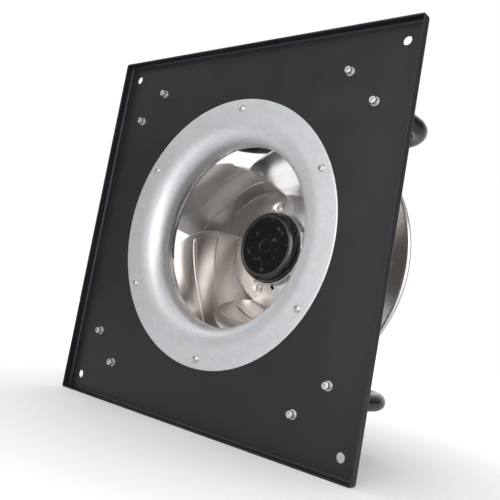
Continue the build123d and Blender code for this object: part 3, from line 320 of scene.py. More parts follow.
def placed(points, x, y, z, turn=0.0):
    """A grid turned about its own Y axis by an angle in degrees and moved to its place."""
    c, s = math.cos(math.radians(turn)), math.sin(math.radians(turn))
    px, py, pz = points[..., 0], points[..., 1], points[..., 2]
    return np.stack([px * c - pz * s + x, py + y, px * s + pz * c + z], axis=-1)


def on_circle(radius, count, first):
    """Places on a circle round the shaft, as an array of x and z."""
    t = np.radians(first + 360.0 / count * np.arange(count))
    return np.stack([radius * np.cos(t), radius * np.sin(t)], axis=1)


def joined(surfaces):
    """Several surfaces as one list of vertices, quads and texture places."""
    starts = np.cumsum([0] + [len(s[0]) for s in surfaces[:-1]])
    points = np.concatenate([s[0] for s in surfaces])
    quads = np.concatenate([s[1] + start for s, start in zip(surfaces, starts)])
    uv = None
    if all(s[2] is not None for s in surfaces):
        uv = np.concatenate([s[2] for s in surfaces])
    return points, quads, uv


def mesh_from(name, surfaces, sharp):
    """One mesh of the surfaces: seams and poles merged, faces outwards, smooth up to the sharp angle."""
    points, quads, uv = joined(surfaces)
    mesh = bpy.data.meshes.new(name)
    mesh.from_pydata(points, [], quads.tolist())
    if uv is not None:
        layer = mesh.uv_layers.new(name="UVMap")
        corner = np.empty(len(mesh.loops), dtype=np.int64)
        mesh.loops.foreach_get("vertex_index", corner)
        layer.data.foreach_set("uv", uv[corner].ravel())
    work = bmesh.new()
    work.from_mesh(mesh)
    bmesh.ops.remove_doubles(work, verts=work.verts, dist=1e-6)
    bmesh.ops.dissolve_degenerate(work, edges=work.edges, dist=1e-7)
    bmesh.ops.recalc_face_normals(work, faces=work.faces)
    closed = all(len(edge.link_faces) == 2 for edge in work.edges)
    if closed and work.calc_volume(signed=True) < 0:
        bmesh.ops.reverse_faces(work, faces=work.faces)
    work.to_mesh(mesh)
    work.free()
    mesh.shade_smooth()
    mesh.set_sharp_from_angle(angle=math.radians(sharp))
    return mesh


def put_in_scene(name, data):
    """A new object in the scene, at the origin, that shows the data."""
    made = bpy.data.objects.new(name, data)
    bpy.context.scene.collection.objects.link(made)
    return made


def piece(name, surfaces, finish, body, nodes=(), sharp=40.0):
    """A finished piece that rides on a body and stands for the CAD nodes it is given."""
    mesh = mesh_from(name, surfaces, sharp)
    mesh.materials.append(FINISHES[finish])
    made = put_in_scene(name, mesh)
    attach(made, body)
    if nodes:
        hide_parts(*nodes)
    return made


# Shader helpers


def feed(tree, socket, value):
    """Links a socket to another one, or gives it a value."""
    if isinstance(value, bpy.types.NodeSocket):
        tree.links.new(value, socket)
    else:
        socket.default_value = value


def add(tree, kind, settings=None, **inputs):
    """A node with its settings and inputs: _0 is the first socket, two underscores are a space."""
    node = tree.nodes.new(kind)
    for key, value in (settings or {}).items():
        setattr(node, key, value)
    for key, value in inputs.items():
        socket = node.inputs[int(key[1:])] if key[0] == "_" else node.inputs[key.replace("__", " ")]
        feed(tree, socket, value)
    return node


def maths(tree, operation, a, b=0.0):
    """One sum, product or the like of two numbers."""
    return add(tree, "ShaderNodeMath", {"operation": operation}, _0=a, _1=b).outputs[0]


def ramp(tree, value, low, high, out_low=0.0, out_high=1.0):
    """A value rescaled between two limits, clamped at both."""
    limits = {"_1": low, "_2": high, "_3": out_low, "_4": out_high}
    return add(tree, "ShaderNodeMapRange", None, Value=value, **limits).outputs[0]


def blend_colours(tree, share, a, b):
    """A colour between two others."""
    return add(tree, "ShaderNodeMix", {"data_type": "RGBA"}, _0=share, _6=a, _7=b).outputs[2]


def object_place(tree):
    """The place on the object, in metres."""
    return add(tree, "ShaderNodeTexCoord").outputs["Object"]


def new_group(name, inputs, outputs):
    """An empty node group with named inputs and outputs, and its two end nodes."""
    tree = bpy.data.node_groups.new(name, "ShaderNodeTree")
    for label, kind, value in inputs:
        socket = tree.interface.new_socket(name=label, in_out="INPUT", socket_type=kind)
        socket.default_value = value
    for label, kind in outputs:
        tree.interface.new_socket(name=label, in_out="OUTPUT", socket_type=kind)
    return tree, tree.nodes.new("NodeGroupInput"), tree.nodes.new("NodeGroupOutput")


FLOAT = "NodeSocketFloat"


def put_out_noise(tree, end, place, scale, detail):
    """Gives a noise as the group's height, and its middle range as the group's mask."""
    settings = {"Vector": place, "Scale": scale, "Detail": detail, "Roughness": 0.6}
    noise = add(tree, "ShaderNodeTexNoise", None, **settings).outputs["Fac"]
    tree.links.new(noise, end.inputs["Height"])
    tree.links.new(ramp(tree, noise, 0.3, 0.7), end.inputs["Mask"])


def make_grain_group():
    """Fine grain of a coating or casting: two sizes of noise over the object, as height and as a mask."""
    tree, start, end = new_group(
        "Fine grain",
        [("Size", FLOAT, 0.001), ("Blotch Size", FLOAT, 0.05)],
        [("Height", FLOAT), ("Mask", FLOAT), ("Blotches", FLOAT)],
    )
    place = object_place(tree)
    fine = maths(tree, "DIVIDE", 1.0, start.outputs["Size"])
    broad = maths(tree, "DIVIDE", 1.0, start.outputs["Blotch Size"])
    small = add(tree, "ShaderNodeTexNoise", None, Vector=place, Scale=fine, Detail=3.0, Roughness=0.55)
    large = add(tree, "ShaderNodeTexNoise", None, Vector=place, Scale=broad, Detail=4.0, Roughness=0.5)
    tree.links.new(small.outputs["Fac"], end.inputs["Height"])
    tree.links.new(ramp(tree, small.outputs["Fac"], 0.35, 0.65), end.inputs["Mask"])
    tree.links.new(ramp(tree, large.outputs["Fac"], 0.3, 0.7), end.inputs["Blotches"])
    return tree


def make_turned_group():
    """Marks that run round the shaft: noise over the distance from the shaft and the depth alone."""
    tree, start, end = new_group(
        "Turned marks", [("Width", FLOAT, 0.0006)], [("Height", FLOAT), ("Mask", FLOAT)]
    )
    place = object_place(tree)
    axes = add(tree, "ShaderNodeSeparateXYZ", None, Vector=place)
    square_x = maths(tree, "MULTIPLY", axes.outputs[0], axes.outputs[0])
    square_z = maths(tree, "MULTIPLY", axes.outputs[2], axes.outputs[2])
    radius = maths(tree, "SQRT", maths(tree, "ADD", square_x, square_z))
    count = maths(tree, "DIVIDE", 1.0, start.outputs["Width"])
    ring = add(tree, "ShaderNodeCombineXYZ", None, X=radius, Y=axes.outputs[1], Z=0.0)
    put_out_noise(tree, end, ring.outputs[0], count, 2.0)
    return tree


def make_spangle_group():
    """The crystals of a zinc coat: cells with a grey of their own, and thin lines between them."""
    tree, start, end = new_group(
        "Zinc spangle", [("Size", FLOAT, 0.006)], [("Tone", FLOAT), ("Height", FLOAT)]
    )
    place = object_place(tree)
    scale = maths(tree, "DIVIDE", 1.0, start.outputs["Size"])
    bend = add(tree, "ShaderNodeTexNoise", None, Vector=place, Scale=60.0, Detail=2.0)
    shift = {"_0": bend.outputs["Color"], "_1": (0.004, 0.004, 0.004), "_2": place}
    moved = add(tree, "ShaderNodeVectorMath", {"operation": "MULTIPLY_ADD"}, **shift)
    cells = add(tree, "ShaderNodeTexVoronoi", None, Vector=moved.outputs[0], Scale=scale)
    grey = add(tree, "ShaderNodeSeparateColor", None, Color=cells.outputs["Color"])
    tree.links.new(grey.outputs[0], end.inputs["Tone"])
    tree.links.new(grey.outputs[1], end.inputs["Height"])
    return tree


def make_rolled_group():
    """Rolling marks of sheet metal over its own texture places: noise stretched along the first of them."""
    tree, start, end = new_group(
        "Rolled marks",
        [("Across", FLOAT, 260.0), ("Along", FLOAT, 4.0)],
        [("Height", FLOAT), ("Mask", FLOAT)],
    )
    place = add(tree, "ShaderNodeTexCoord").outputs["UV"]
    axes = add(tree, "ShaderNodeSeparateXYZ", None, Vector=place)
    u = maths(tree, "MULTIPLY", axes.outputs[0], start.outputs["Along"])
    v = maths(tree, "MULTIPLY", axes.outputs[1], start.outputs["Across"])
    stretched = add(tree, "ShaderNodeCombineXYZ", None, X=u, Y=v, Z=0.0)
    put_out_noise(tree, end, stretched.outputs[0], 1.0, 3.0)
    return tree


GRAIN = make_grain_group()
TURNED_MARKS = make_turned_group()
SPANGLE = make_spangle_group()
ROLLED = make_rolled_group()


def use_group(tree, group, **inputs):
    """A node that runs a group with these values. Two underscores are a space."""
    node = tree.nodes.new("ShaderNodeGroup")
    node.node_tree = group
    for key, value in inputs.items():
        node.inputs[key.replace("__", " ")].default_value = value
    return node


def shader_material(name, **values):
    """A material whose Principled shader has the given constants on its own sockets."""
    made = bpy.data.materials.new(name)
    made.use_nodes = True
    shader = made.node_tree.nodes["Principled BSDF"]
    for key, value in values.items():
        shader.inputs[key.replace("__", " ")].default_value = value
    return made, made.node_tree, shader


def bump(tree, shader, height, distance, edge=0.0):
    """Relief from a height, on normals that round the mesh's sharp edges by the edge radius."""
    node = add(tree, "ShaderNodeBump", None, Distance=distance, Height=height)
    if edge:
        eased = add(tree, "ShaderNodeBevel", {"samples": 6}, Radius=edge)
        tree.links.new(eased.outputs["Normal"], node.inputs["Normal"])
    tree.links.new(node.outputs["Normal"], shader.inputs["Normal"])


def patches(tree, marks, low, high):
    """A value that goes between two limits in broad patches."""
    return ramp(tree, marks.outputs["Blotches"], 0.0, 1.0, low, high)


def set_surface(tree, shader, tone, rough):
    """Takes the base colour and the roughness from two sockets."""
    tree.links.new(tone, shader.inputs["Base Color"])
    tree.links.new(rough, shader.inputs["Roughness"])


def two_toned(mask, name, dark, light, roughness, spread, grain, blotch, depth, edge=0.0, **values):
    """A finish between two tones by one of the grain's masks, with patchy roughness and a fine relief."""
    made, tree, shader = shader_material(name, **values)
    marks = use_group(tree, GRAIN, Size=grain, Blotch__Size=blotch)
    tone = blend_colours(tree, marks.outputs[mask], (*dark, 1), (*light, 1))
    set_surface(tree, shader, tone, patches(tree, marks, roughness - spread, roughness + spread))
    bump(tree, shader, marks.outputs["Height"], depth, edge)
    return made


def coated(*recipe, blotch=0.06, depth=0.00003, **values):
    """Paint, plastic or rubber, whose tone varies in broad patches."""
    return two_toned("Blotches", *recipe, blotch, depth, **values)


def metal(*recipe, blotch=0.03, depth=0.00002, metallic=1.0, **values):
    """Bare metal, whose tone varies with the fine grain."""
    return two_toned("Mask", *recipe, blotch, depth, Metallic=metallic, **values)


def galvanised():
    """The nozzle's zinc-coated sheet: faint spangle and spinning marks, matt patches, a burnished throat."""
    made, tree, shader = shader_material("galvanised_sheet", Metallic=0.85)
    crystals = use_group(tree, SPANGLE, Size=0.005)
    rings = use_group(tree, TURNED_MARKS, Width=0.0009)
    marks = use_group(tree, GRAIN, Size=0.0008, Blotch__Size=0.05)
    tone = blend_colours(tree, crystals.outputs["Tone"], (0.68, 0.70, 0.72, 1), (0.74, 0.755, 0.775, 1))
    ring_share = ramp(tree, rings.outputs["Mask"], 0, 1, 0.0, 0.25)
    shade = blend_colours(tree, ring_share, tone, (0.64, 0.66, 0.69, 1))
    depth = add(tree, "ShaderNodeSeparateXYZ", None, Vector=object_place(tree)).outputs[1]
    burnished = ramp(tree, depth, *BURNISHED_DEPTHS, patches(tree, marks, 0.42, 0.50), BURNISHED_ROUGHNESS)
    set_surface(tree, shader, shade, burnished)
    crystal_height = maths(tree, "MULTIPLY", crystals.outputs["Height"], 0.3)
    bump(tree, shader, maths(tree, "ADD", rings.outputs["Height"], crystal_height), 0.00002)
    return made


def rotor_lacquer():
    """Glossy black lacquer with small dull smudges and a few pale scuffs."""
    made, tree, shader = shader_material("gloss_rotor_paint", Specular__IOR__Level=0.8)
    marks = use_group(tree, GRAIN, Size=0.0011, Blotch__Size=0.009)
    scuffs = ramp(tree, marks.outputs["Blotches"], 0.72, 0.95, 0.0, 1.0)
    fleck = maths(tree, "MULTIPLY", scuffs, marks.outputs["Mask"])
    tone = blend_colours(tree, fleck, (0.003, 0.003, 0.003, 1), (0.045, 0.045, 0.045, 1))
    set_surface(tree, shader, tone, ramp(tree, scuffs, 0.0, 1.0, 0.08, 0.30))
    bump(tree, shader, marks.outputs["Blotches"], 0.00006)
    return made


def spun_aluminium():
    """The shroud and back plate: bright sheet with fine rings from spinning."""
    made, tree, shader = shader_material("spun_aluminium", Metallic=1.0)
    rings = use_group(tree, TURNED_MARKS, Width=0.0007)
    marks = use_group(tree, GRAIN, Size=0.0005, Blotch__Size=0.04)
    tone = blend_colours(tree, rings.outputs["Mask"], (0.72, 0.705, 0.70, 1), (0.80, 0.785, 0.78, 1))
    set_surface(tree, shader, tone, patches(tree, marks, 0.22, 0.30))
    bump(tree, shader, rings.outputs["Height"], 0.00002)
    return made


def rolled_aluminium():
    """The blades: bright rolled sheet with faint lines along the blade."""
    made, tree, shader = shader_material("rolled_aluminium", Metallic=1.0)
    lines = use_group(tree, ROLLED)
    marks = use_group(tree, GRAIN, Size=0.0005, Blotch__Size=0.03)
    tone = blend_colours(tree, lines.outputs["Mask"], (0.60, 0.56, 0.53, 1), (0.68, 0.635, 0.60, 1))
    set_surface(tree, shader, tone, patches(tree, marks, 0.31, 0.39))
    bump(tree, shader, lines.outputs["Height"], 0.00003)
    return made


# A recipe's numbers are the dark and the light tone, the roughness and its spread, and the grain's size.
FINISHES = {
    "plate": coated("powder_coat", (0.0105, 0.0105, 0.0145), (0.0145, 0.0145, 0.0195), 0.36, 0.04, 0.0012,
                    depth=0.00002, edge=0.0009, Specular__IOR__Level=0.42),
    "nozzle": galvanised(),
    "spun": spun_aluminium(),
    "rolled": rolled_aluminium(),
    "tube": coated("gloss_tube_paint", (0.008, 0.008, 0.009), (0.011, 0.011, 0.012), 0.14, 0.04, 0.002,
                   Specular__IOR__Level=0.35),
    "rotor": rotor_lacquer(),
    "zinc": metal("zinc_plated_steel", (0.60, 0.60, 0.60), (0.74, 0.74, 0.74), 0.38, 0.06, 0.0006,
                  metallic=0.85),
    "bright_zinc": metal("bright_zinc_steel", (0.56, 0.56, 0.56), (0.70, 0.70, 0.70), 0.2, 0.04, 0.0006),
    "casting": metal("die_cast_aluminium", (0.42, 0.42, 0.43), (0.54, 0.54, 0.55), 0.52, 0.06, 0.0008,
                     depth=0.00006),
    "gland": coated("black_polyamide", (0.018, 0.018, 0.019), (0.024, 0.024, 0.025), 0.5, 0.05, 0.0006),
    "board": coated("solder_mask", (0.01, 0.09, 0.035), (0.015, 0.12, 0.05), 0.3, 0.05, 0.004),
    "board_parts": coated("moulded_parts", (0.015, 0.015, 0.02), (0.03, 0.03, 0.04), 0.35, 0.05, 0.001),
    "seal": coated("foamed_rubber", (0.02, 0.02, 0.02), (0.03, 0.03, 0.03), 0.8, 0.08, 0.0007, depth=0.0001),
    "cover": coated("cover_plastic", (0.022, 0.022, 0.024), (0.028, 0.028, 0.030), 0.48, 0.05, 0.0009,
                    depth=0.00005),
    "core": metal("laminated_steel", (0.30, 0.30, 0.32), (0.42, 0.42, 0.44), 0.45, 0.08, 0.0005),
    "copper": metal("enamelled_copper", (0.60, 0.25, 0.12), (0.75, 0.36, 0.20), 0.3, 0.08, 0.0006),
    "bearing": metal("ground_steel", (0.68, 0.68, 0.70), (0.78, 0.78, 0.80), 0.18, 0.04, 0.0005),
    "magnet": metal("sintered_magnet", (0.10, 0.10, 0.11), (0.16, 0.16, 0.17), 0.55, 0.08, 0.0007,
                    metallic=0.6),
}

NODE_FINISHES = {
    "plate": ["front_plate"],
    "tube": ["strut_feet", "strut_welds", "motor_bracket", "bracket_welds"],
    "casting": ["stator_flange", "electronics_pot"],
    "zinc": ["pot_screws", "bracket_bolts", "cover_screws"],
    "gland": ["gland_bodies", "gland_nuts"],
    "board": ["circuit_board"],
    "board_parts": ["board_parts"],
    "seal": ["cover_seal"],
    "cover": ["electronics_cover"],
    "core": ["stator_core", "shaft_clip"],
    "copper": ["stator_coils"],
    "bearing": ["front_bearing", "rear_bearing", "motor_shaft"],
    "magnet": ["rotor_magnets"],
}


def dress_nodes():
    """Puts the finishes on the CAD nodes that are shown as they are."""
    for finish, nodes in NODE_FINISHES.items():
        for node in nodes:
            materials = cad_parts[node].data.materials
            materials.clear()
            materials.append(FINISHES[finish])


# Nozzle


def nozzle_ring():
    """The nozzle's face runs flat, through an arc of 15 degrees and one of 75, and straight to its end."""
    turn = math.radians(NOZZLE_OUTER_ARC_TURN)
    face_y = -NOZZLE_THICKNESS
    outer = NOZZLE_OUTER_ARC_RADIUS
    joint = NOZZLE_BELL_START_RADIUS - outer * math.sin(turn)
    inner = (joint - NOZZLE_THROAT_RADIUS) / (1 - math.sin(turn))
    outer_centre = (NOZZLE_BELL_START_RADIUS, face_y + outer)
    inner_centre = (joint + inner * math.sin(turn), face_y + outer - (outer - inner) * math.cos(turn))
    face = chain(
        line((NOZZLE_FLANGE_RADIUS, face_y), (NOZZLE_BELL_START_RADIUS, face_y), 12),
        arc(outer_centre, outer, -90, -90 - NOZZLE_OUTER_ARC_TURN, 10),
        arc(inner_centre, inner, -90 - NOZZLE_OUTER_ARC_TURN, -180, 26),
        line((NOZZLE_THROAT_RADIUS, inner_centre[1]), (NOZZLE_THROAT_RADIUS, NOZZLE_END_Y), 12),
    )
    skin = turned(sheet_outline(face, -NOZZLE_THICKNESS), NOZZLE_STEPS)
    piece("nozzle_ring", [skin], "nozzle", STILL, ["inlet_nozzle"])


# Screws, each with its axis along Y and its head looking forward from the origin at its seat


def polygon_radius(steps, sides, across_corners):
    """The radius of a regular polygon at each step round it: r cos(pi/n) / cos(angle from the flat)."""
    t = np.arange(steps) * (2 * np.pi / steps)
    half = np.pi / sides
    return across_corners * math.cos(half) / np.cos((t % (2 * half)) - half)


def cross_radius(steps, reach, width):
    """The outline of a cross recess: long near the two axes, short between them, as a power of the cosine."""
    t = np.arange(steps) * (2 * np.pi / steps)
    return width + (reach - width) * np.abs(np.cos(2 * t)) ** 6


def socket_head(radius, height, socket, steps=72):
    """A socket-head screw: hexagon recess, flat ring, bevel and a knurled side."""
    hexagon = polygon_radius(steps, 6, socket)
    t = np.arange(steps) * (2 * np.pi / steps)
    knurl = 0.012 * radius * np.cos(24 * t)
    bevel = 0.14 * radius
    one = np.ones(steps)
    depth = 0.55 * height
    radii = [0 * one, 0.96 * hexagon, hexagon, hexagon + 0.04 * radius, (radius - 1.2 * bevel) * one]
    radii += [(radius - 0.3 * bevel) * one, radius * one, radius + knurl, radius + knurl, radius * one]
    radii += [(radius - 0.2 * bevel) * one, 0 * one]
    depths = [-height + depth * 1.15, -height + depth, -height + 0.02 * height, -height, -height]
    depths += [-height + 0.45 * bevel, -height + 1.1 * bevel, -height + 1.6 * bevel]
    depths += [-0.18 * height, -0.12 * height, 0, 0]
    return stacked(np.array(radii), depths)


def pan_head(radius, height, recess, steps=64):
    """A pan-head screw: cross recess in a low dome that falls as the fourth power of the radius."""
    one = np.ones(steps)
    cross = cross_radius(steps, recess, 0.38 * recess)
    share = np.array([0.62, 0.72, 0.82, 0.90, 0.96, 0.99])
    dome = [s * radius * one for s in share]
    radii = [0 * one, 0.7 * cross, cross, 1.1 * cross] + dome + [radius * one, 0.97 * radius * one, 0 * one]
    depths = [-0.45 * height, -0.5 * height, -0.97 * height, -height]
    depths += [-height * (1 - 0.55 * s**5) for s in share]
    depths += [-0.36 * height, 0, 0]
    return stacked(np.array(radii), depths)


def thread_end(radius, end, pitch, ridges, steps=24):
    """A screw's end: its radius waves with the depth once a pitch, up to a bevelled tip."""
    depth = end - pitch * (0.6 + np.arange(4 * ridges)[::-1] / 4)
    wave = radius - 0.14 * pitch * (1 - np.cos(2 * np.pi * depth / pitch))
    radii = np.concatenate([[0], wave, [0.92 * radius, 0.72 * radius, 0]])
    depths = np.concatenate([[depth[0]], depth, [end - 0.4 * pitch, end, end]])
    return stacked(np.repeat(radii[:, None], steps, axis=1), depths)


def ring_washer(outer, inner, thickness, steps=48):
    """A flat ring with eased edges, its back at the origin."""
    corners = [(inner, 0), (outer, 0), (outer, -thickness), (inner, -thickness)]
    outline = rounded(corners, 0.15 * thickness)
    return np.stack([stacked(np.full((1, steps), r), [y])[0] for r, y in outline])


def split_washer(outer, inner, thickness, steps=44):
    """A spring washer: a square section carried round all but a narrow slit while it climbs a little."""
    corners = [(inner, 0), (outer, 0), (outer, -thickness), (inner, -thickness)]
    outline = rounded(corners, 0.12 * thickness)
    slit = math.radians(SPRING_WASHER_HALF_SLIT)
    t = np.linspace(slit, 2 * np.pi - slit, steps)
    climb = SPRING_WASHER_CLIMB * thickness
    radius, depth = outline[:, :1], (1 - SPRING_WASHER_CLIMB) * outline[:, 1:]
    ring = np.stack([radius * np.cos(t), depth + climb * (t / np.pi - 1) - climb, radius * np.sin(t)], axis=-1)
    middle = ring.mean(axis=0, keepdims=True)
    first = np.repeat(middle[:, :1], len(outline), axis=0)
    last = np.repeat(middle[:, -1:], len(outline), axis=0)
    return np.concatenate([first, ring, last], axis=1)


def foot_bolt_places():
    """Two screws at each foot, either side of the tube on the diagonal."""
    reach = FOOT_BOLT_REACH
    sides = [(x, z, s) for x in (-1, 1) for z in (-1, 1) for s in (-1, 1)]
    return np.array([(x * (TUBE_X + s * reach), z * (TUBE_Z - s * reach)) for x, z, s in sides])


def golden_turns(count):
    """Unequal turns in degrees, one after another by the golden angle."""
    return (np.arange(count) * GOLDEN_ANGLE) % 360


def screws(name, head, thread, places, seat, finish, body, node):
    """Screws of one kind: a head at its seat, turned its own way, and a thread's end at each place."""
    turns = golden_turns(len(places))
    end = thread_end(*thread)
    parts = [surface(placed(head, x, seat, z, a), close_columns=True) for (x, z), a in zip(places, turns)]
    parts += [surface(placed(end, x, 0, z), close_columns=True) for x, z in places]
    piece(name, parts, finish, body, [node], sharp=FASTENER_SHARP)


def fastenings():
    """The screws and washers on the plate and the nozzle."""
    bolts = foot_bolt_places()
    seat = -WASHER_THICKNESS - SPRING_WASHER_THICKNESS
    screws("foot_screws", socket_head(*FOOT_SCREW_HEAD), FOOT_SCREW_THREAD, bolts, seat, "zinc", STILL,
           "strut_bolts")
    ring = ring_washer(WASHER_RADIUS, WASHER_BORE_RADIUS, WASHER_THICKNESS)
    rings = [surface(placed(ring, x, 0, z), close_rows=True, close_columns=True) for x, z in bolts]
    piece("flat_washers", rings, "zinc", STILL, ["strut_washers"], sharp=FASTENER_SHARP)
    ring = split_washer(SPRING_WASHER_RADIUS, WASHER_BORE_RADIUS, SPRING_WASHER_THICKNESS)
    turns = golden_turns(len(bolts))
    rings = [
        surface(placed(ring, x, -WASHER_THICKNESS, z, a), close_rows=True) for (x, z), a in zip(bolts, turns)
    ]
    piece("split_washers", rings, "zinc", STILL, ["spring_washers"], sharp=FASTENER_SHARP)
    spots = on_circle(NOZZLE_SCREW_CIRCLE_RADIUS, NOZZLE_SCREW_COUNT, NOZZLE_SCREW_FIRST_ANGLE)
    screws("ring_screws", pan_head(*NOZZLE_SCREW_HEAD), NOZZLE_SCREW_THREAD, spots, -NOZZLE_THICKNESS,
           "bright_zinc", STILL, "nozzle_screws")


# Tubes


def tube_path():
    """The centre line seen from above, and its side direction: back, round a bend, across, round, forward."""
    x, y = TUBE_X - TUBE_BEND_RADIUS, TUBE_BACK_Y - TUBE_BEND_RADIUS
    path = chain(
        line((TUBE_X, TUBE_START_Y), (TUBE_X, y), 12),
        arc((x, y), TUBE_BEND_RADIUS, 0, 90, 40),
        line((x, TUBE_BACK_Y), (-x, TUBE_BACK_Y), 20),
        arc((-x, y), TUBE_BEND_RADIUS, 90, 180, 40),
        line((-TUBE_X, y), (-TUBE_X, TUBE_START_Y), 12),
    )
    run = np.gradient(path, axis=0)
    run /= np.linalg.norm(run, axis=1, keepdims=True)
    return path, np.stack([run[:, 1], -run[:, 0]], axis=1)


def bent_tube(name, node, z):
    """A circle carried along the centre line: point = path + r (side cos a + up sin a)."""
    path, side = tube_path()
    a = np.arange(48) * (2 * np.pi / 48)
    flat = path[:, None] + TUBE_RADIUS * np.cos(a)[None, :, None] * side[:, None]
    up = np.broadcast_to(z + TUBE_RADIUS * np.sin(a), flat.shape[:2])
    skin = np.stack([flat[..., 0], flat[..., 1], up], axis=-1)
    middle = np.broadcast_to(skin.mean(axis=1, keepdims=True), skin.shape)
    skin = np.concatenate([middle[:1], skin, middle[-1:]])
    piece(name, [surface(skin, close_columns=True)], "tube", STILL, [node], sharp=50)


# Impeller


def shroud_face():
    """The shroud's air side: a straight collar, an arc outwards and a straight cone to the rim."""
    centre = (SHROUD_INLET_RADIUS + SHROUD_BEND_RADIUS, SHROUD_BEND_Y)
    bend = arc(centre, SHROUD_BEND_RADIUS, 180, 180 - SHROUD_BEND_TURN, 24)
    slope = math.tan(math.radians(90 - SHROUD_BEND_TURN))
    rim = (IMPELLER_RADIUS, bend[-1, 1] + (IMPELLER_RADIUS - bend[-1, 0]) * slope)
    start = (SHROUD_INLET_RADIUS, SHROUD_INLET_Y)
    return chain(line(start, bend[0], 10), bend, line(bend[-1], rim, 18))


def hub_face():
    """The back plate's air side: a straight cone to the hub ring, then a cubic curve to the rim."""
    ring, rim = np.array(BACK_PLATE_RING), np.array(BACK_PLATE_RIM)
    curve = [ring] + [ring + np.array(share) * (rim - ring) for share in BACK_PLATE_CURVE] + [rim]
    return chain(line(BACK_PLATE_OPENING, ring, 30), natural_spline(curve, BACK_PLATE_SPACING))


def hub_outline():
    """The disc's section: collar with a half-round lip, fillet, cone and curve, then the rear face."""
    face = hub_face()
    outer, cone_y = BACK_PLATE_OPENING
    ring = np.array(BACK_PLATE_RING)
    slope = (ring[1] - cone_y) / (ring[0] - outer)
    slant = math.degrees(math.atan(slope))
    lip = (outer - HUB_COLLAR_BORE_RADIUS) / 2
    lip_y = HUB_COLLAR_FRONT_Y + lip
    lip_centre = (outer - lip, lip_y)
    fillet_y = cone_y + HUB_COLLAR_FILLET * (slope - math.sqrt(1 + slope**2))
    fillet_centre = (outer + HUB_COLLAR_FILLET, fillet_y)
    corner = arc(fillet_centre, HUB_COLLAR_FILLET, 180, 90 + slant, 7)
    cone = line(corner[-1], ring, 44)
    front = chain(
        arc(lip_centre, lip, -180, 0, 9),
        line((outer, lip_y), corner[0], 8),
        corner,
        cone,
        face[np.argmin(np.hypot(*(face - ring).T)):],
    )
    curl = np.maximum(front[:, 0] - (IMPELLER_RADIUS - DISC_CURL), 0)
    front[:, 1] += DISC_CURL - np.sqrt(DISC_CURL**2 - DISC_CURL_SHARE * curl**2)
    back = along_normals(face, BACK_PLATE_THICKNESS)
    rim = (front[-1] + back[-1]) / 2
    foot = [(HUB_COLLAR_BORE_RADIUS, cone_y + BACK_PLATE_THICKNESS)]
    return np.concatenate([front, [rim], back[::-1], foot])


def smooth_step(value):
    """The cubic 3v² - 2v³ from 0 to 1, flat at both ends."""
    value = np.clip(value, 0, 1)
    return value * value * (3 - 2 * value)


def back_plate():
    """The dished disc: the hub's outline turned, with five round pockets pressed into it."""
    points, quads, uv = turned(hub_outline(), BACK_PLATE_STEPS)
    pockets = on_circle(HUB_SCREW_CIRCLE_RADIUS, HUB_SCREW_COUNT, HUB_SCREW_FIRST_ANGLE)
    distance = np.min(np.hypot(points[:, :1] - pockets[:, 0], points[:, 2:] - pockets[:, 1]), axis=1)
    slope = (BACK_PLATE_RING[1] - BACK_PLATE_OPENING[1]) / (BACK_PLATE_RING[0] - BACK_PLATE_OPENING[0])
    radius = np.hypot(points[:, 0], points[:, 2])
    level = slope * (HUB_SCREW_CIRCLE_RADIUS - radius)
    wall = smooth_step((DIMPLE_MOUTH_RADIUS - distance) / (DIMPLE_MOUTH_RADIUS - DIMPLE_FLOOR_RADIUS))
    collar = smooth_step((radius - BACK_PLATE_OPENING[0]) / DIMPLE_COLLAR_GAP)
    points[:, 1] += wall * collar * (DIMPLE_DEPTH + level)
    made = piece("hub_disc", [(points, quads, uv)], "spun", TURNING,
                 ["impeller_back_plate"])
    drill(made, BALANCE_HOLE_PLACE, BALANCE_HOLE_RADIUS, BALANCE_HOLE_DEPTHS)


def drill(made, place, radius, depths):
    """A round hole cut along Y through a piece, at a radius and angle from the shaft, between two depths."""
    x, z = on_circle(place[0], 1, place[1])[0]
    rod = stacked(np.outer([0, radius, radius, 0], np.ones(32)), np.repeat(depths, 2))
    skin = surface(placed(rod, x, 0, z), close_columns=True)
    cutter = put_in_scene("cutter", mesh_from("cutter", [skin], 30))
    cut = made.modifiers.new("hole", "BOOLEAN")
    cut.operation = "DIFFERENCE"
    cut.solver = "MANIFOLD"
    cut.object = cutter
    graph = bpy.context.evaluated_depsgraph_get()
    finished = bpy.data.meshes.new_from_object(made.evaluated_get(graph))
    made.modifiers.clear()
    made.data = finished
    bpy.data.objects.remove(cutter)


def along_edge(values, span):
    """A cubic Bezier curve's value from the back plate at 0 to the shroud at 1, and straight on past 1."""
    share = np.minimum(span, 1)
    rest = 1 - share
    a, b, c, d = values
    curve = a * rest**3 + 3 * b * share * rest**2 + 3 * c * share**2 * rest + d * share**3
    return curve + 3 * (d - c) * (span - share)


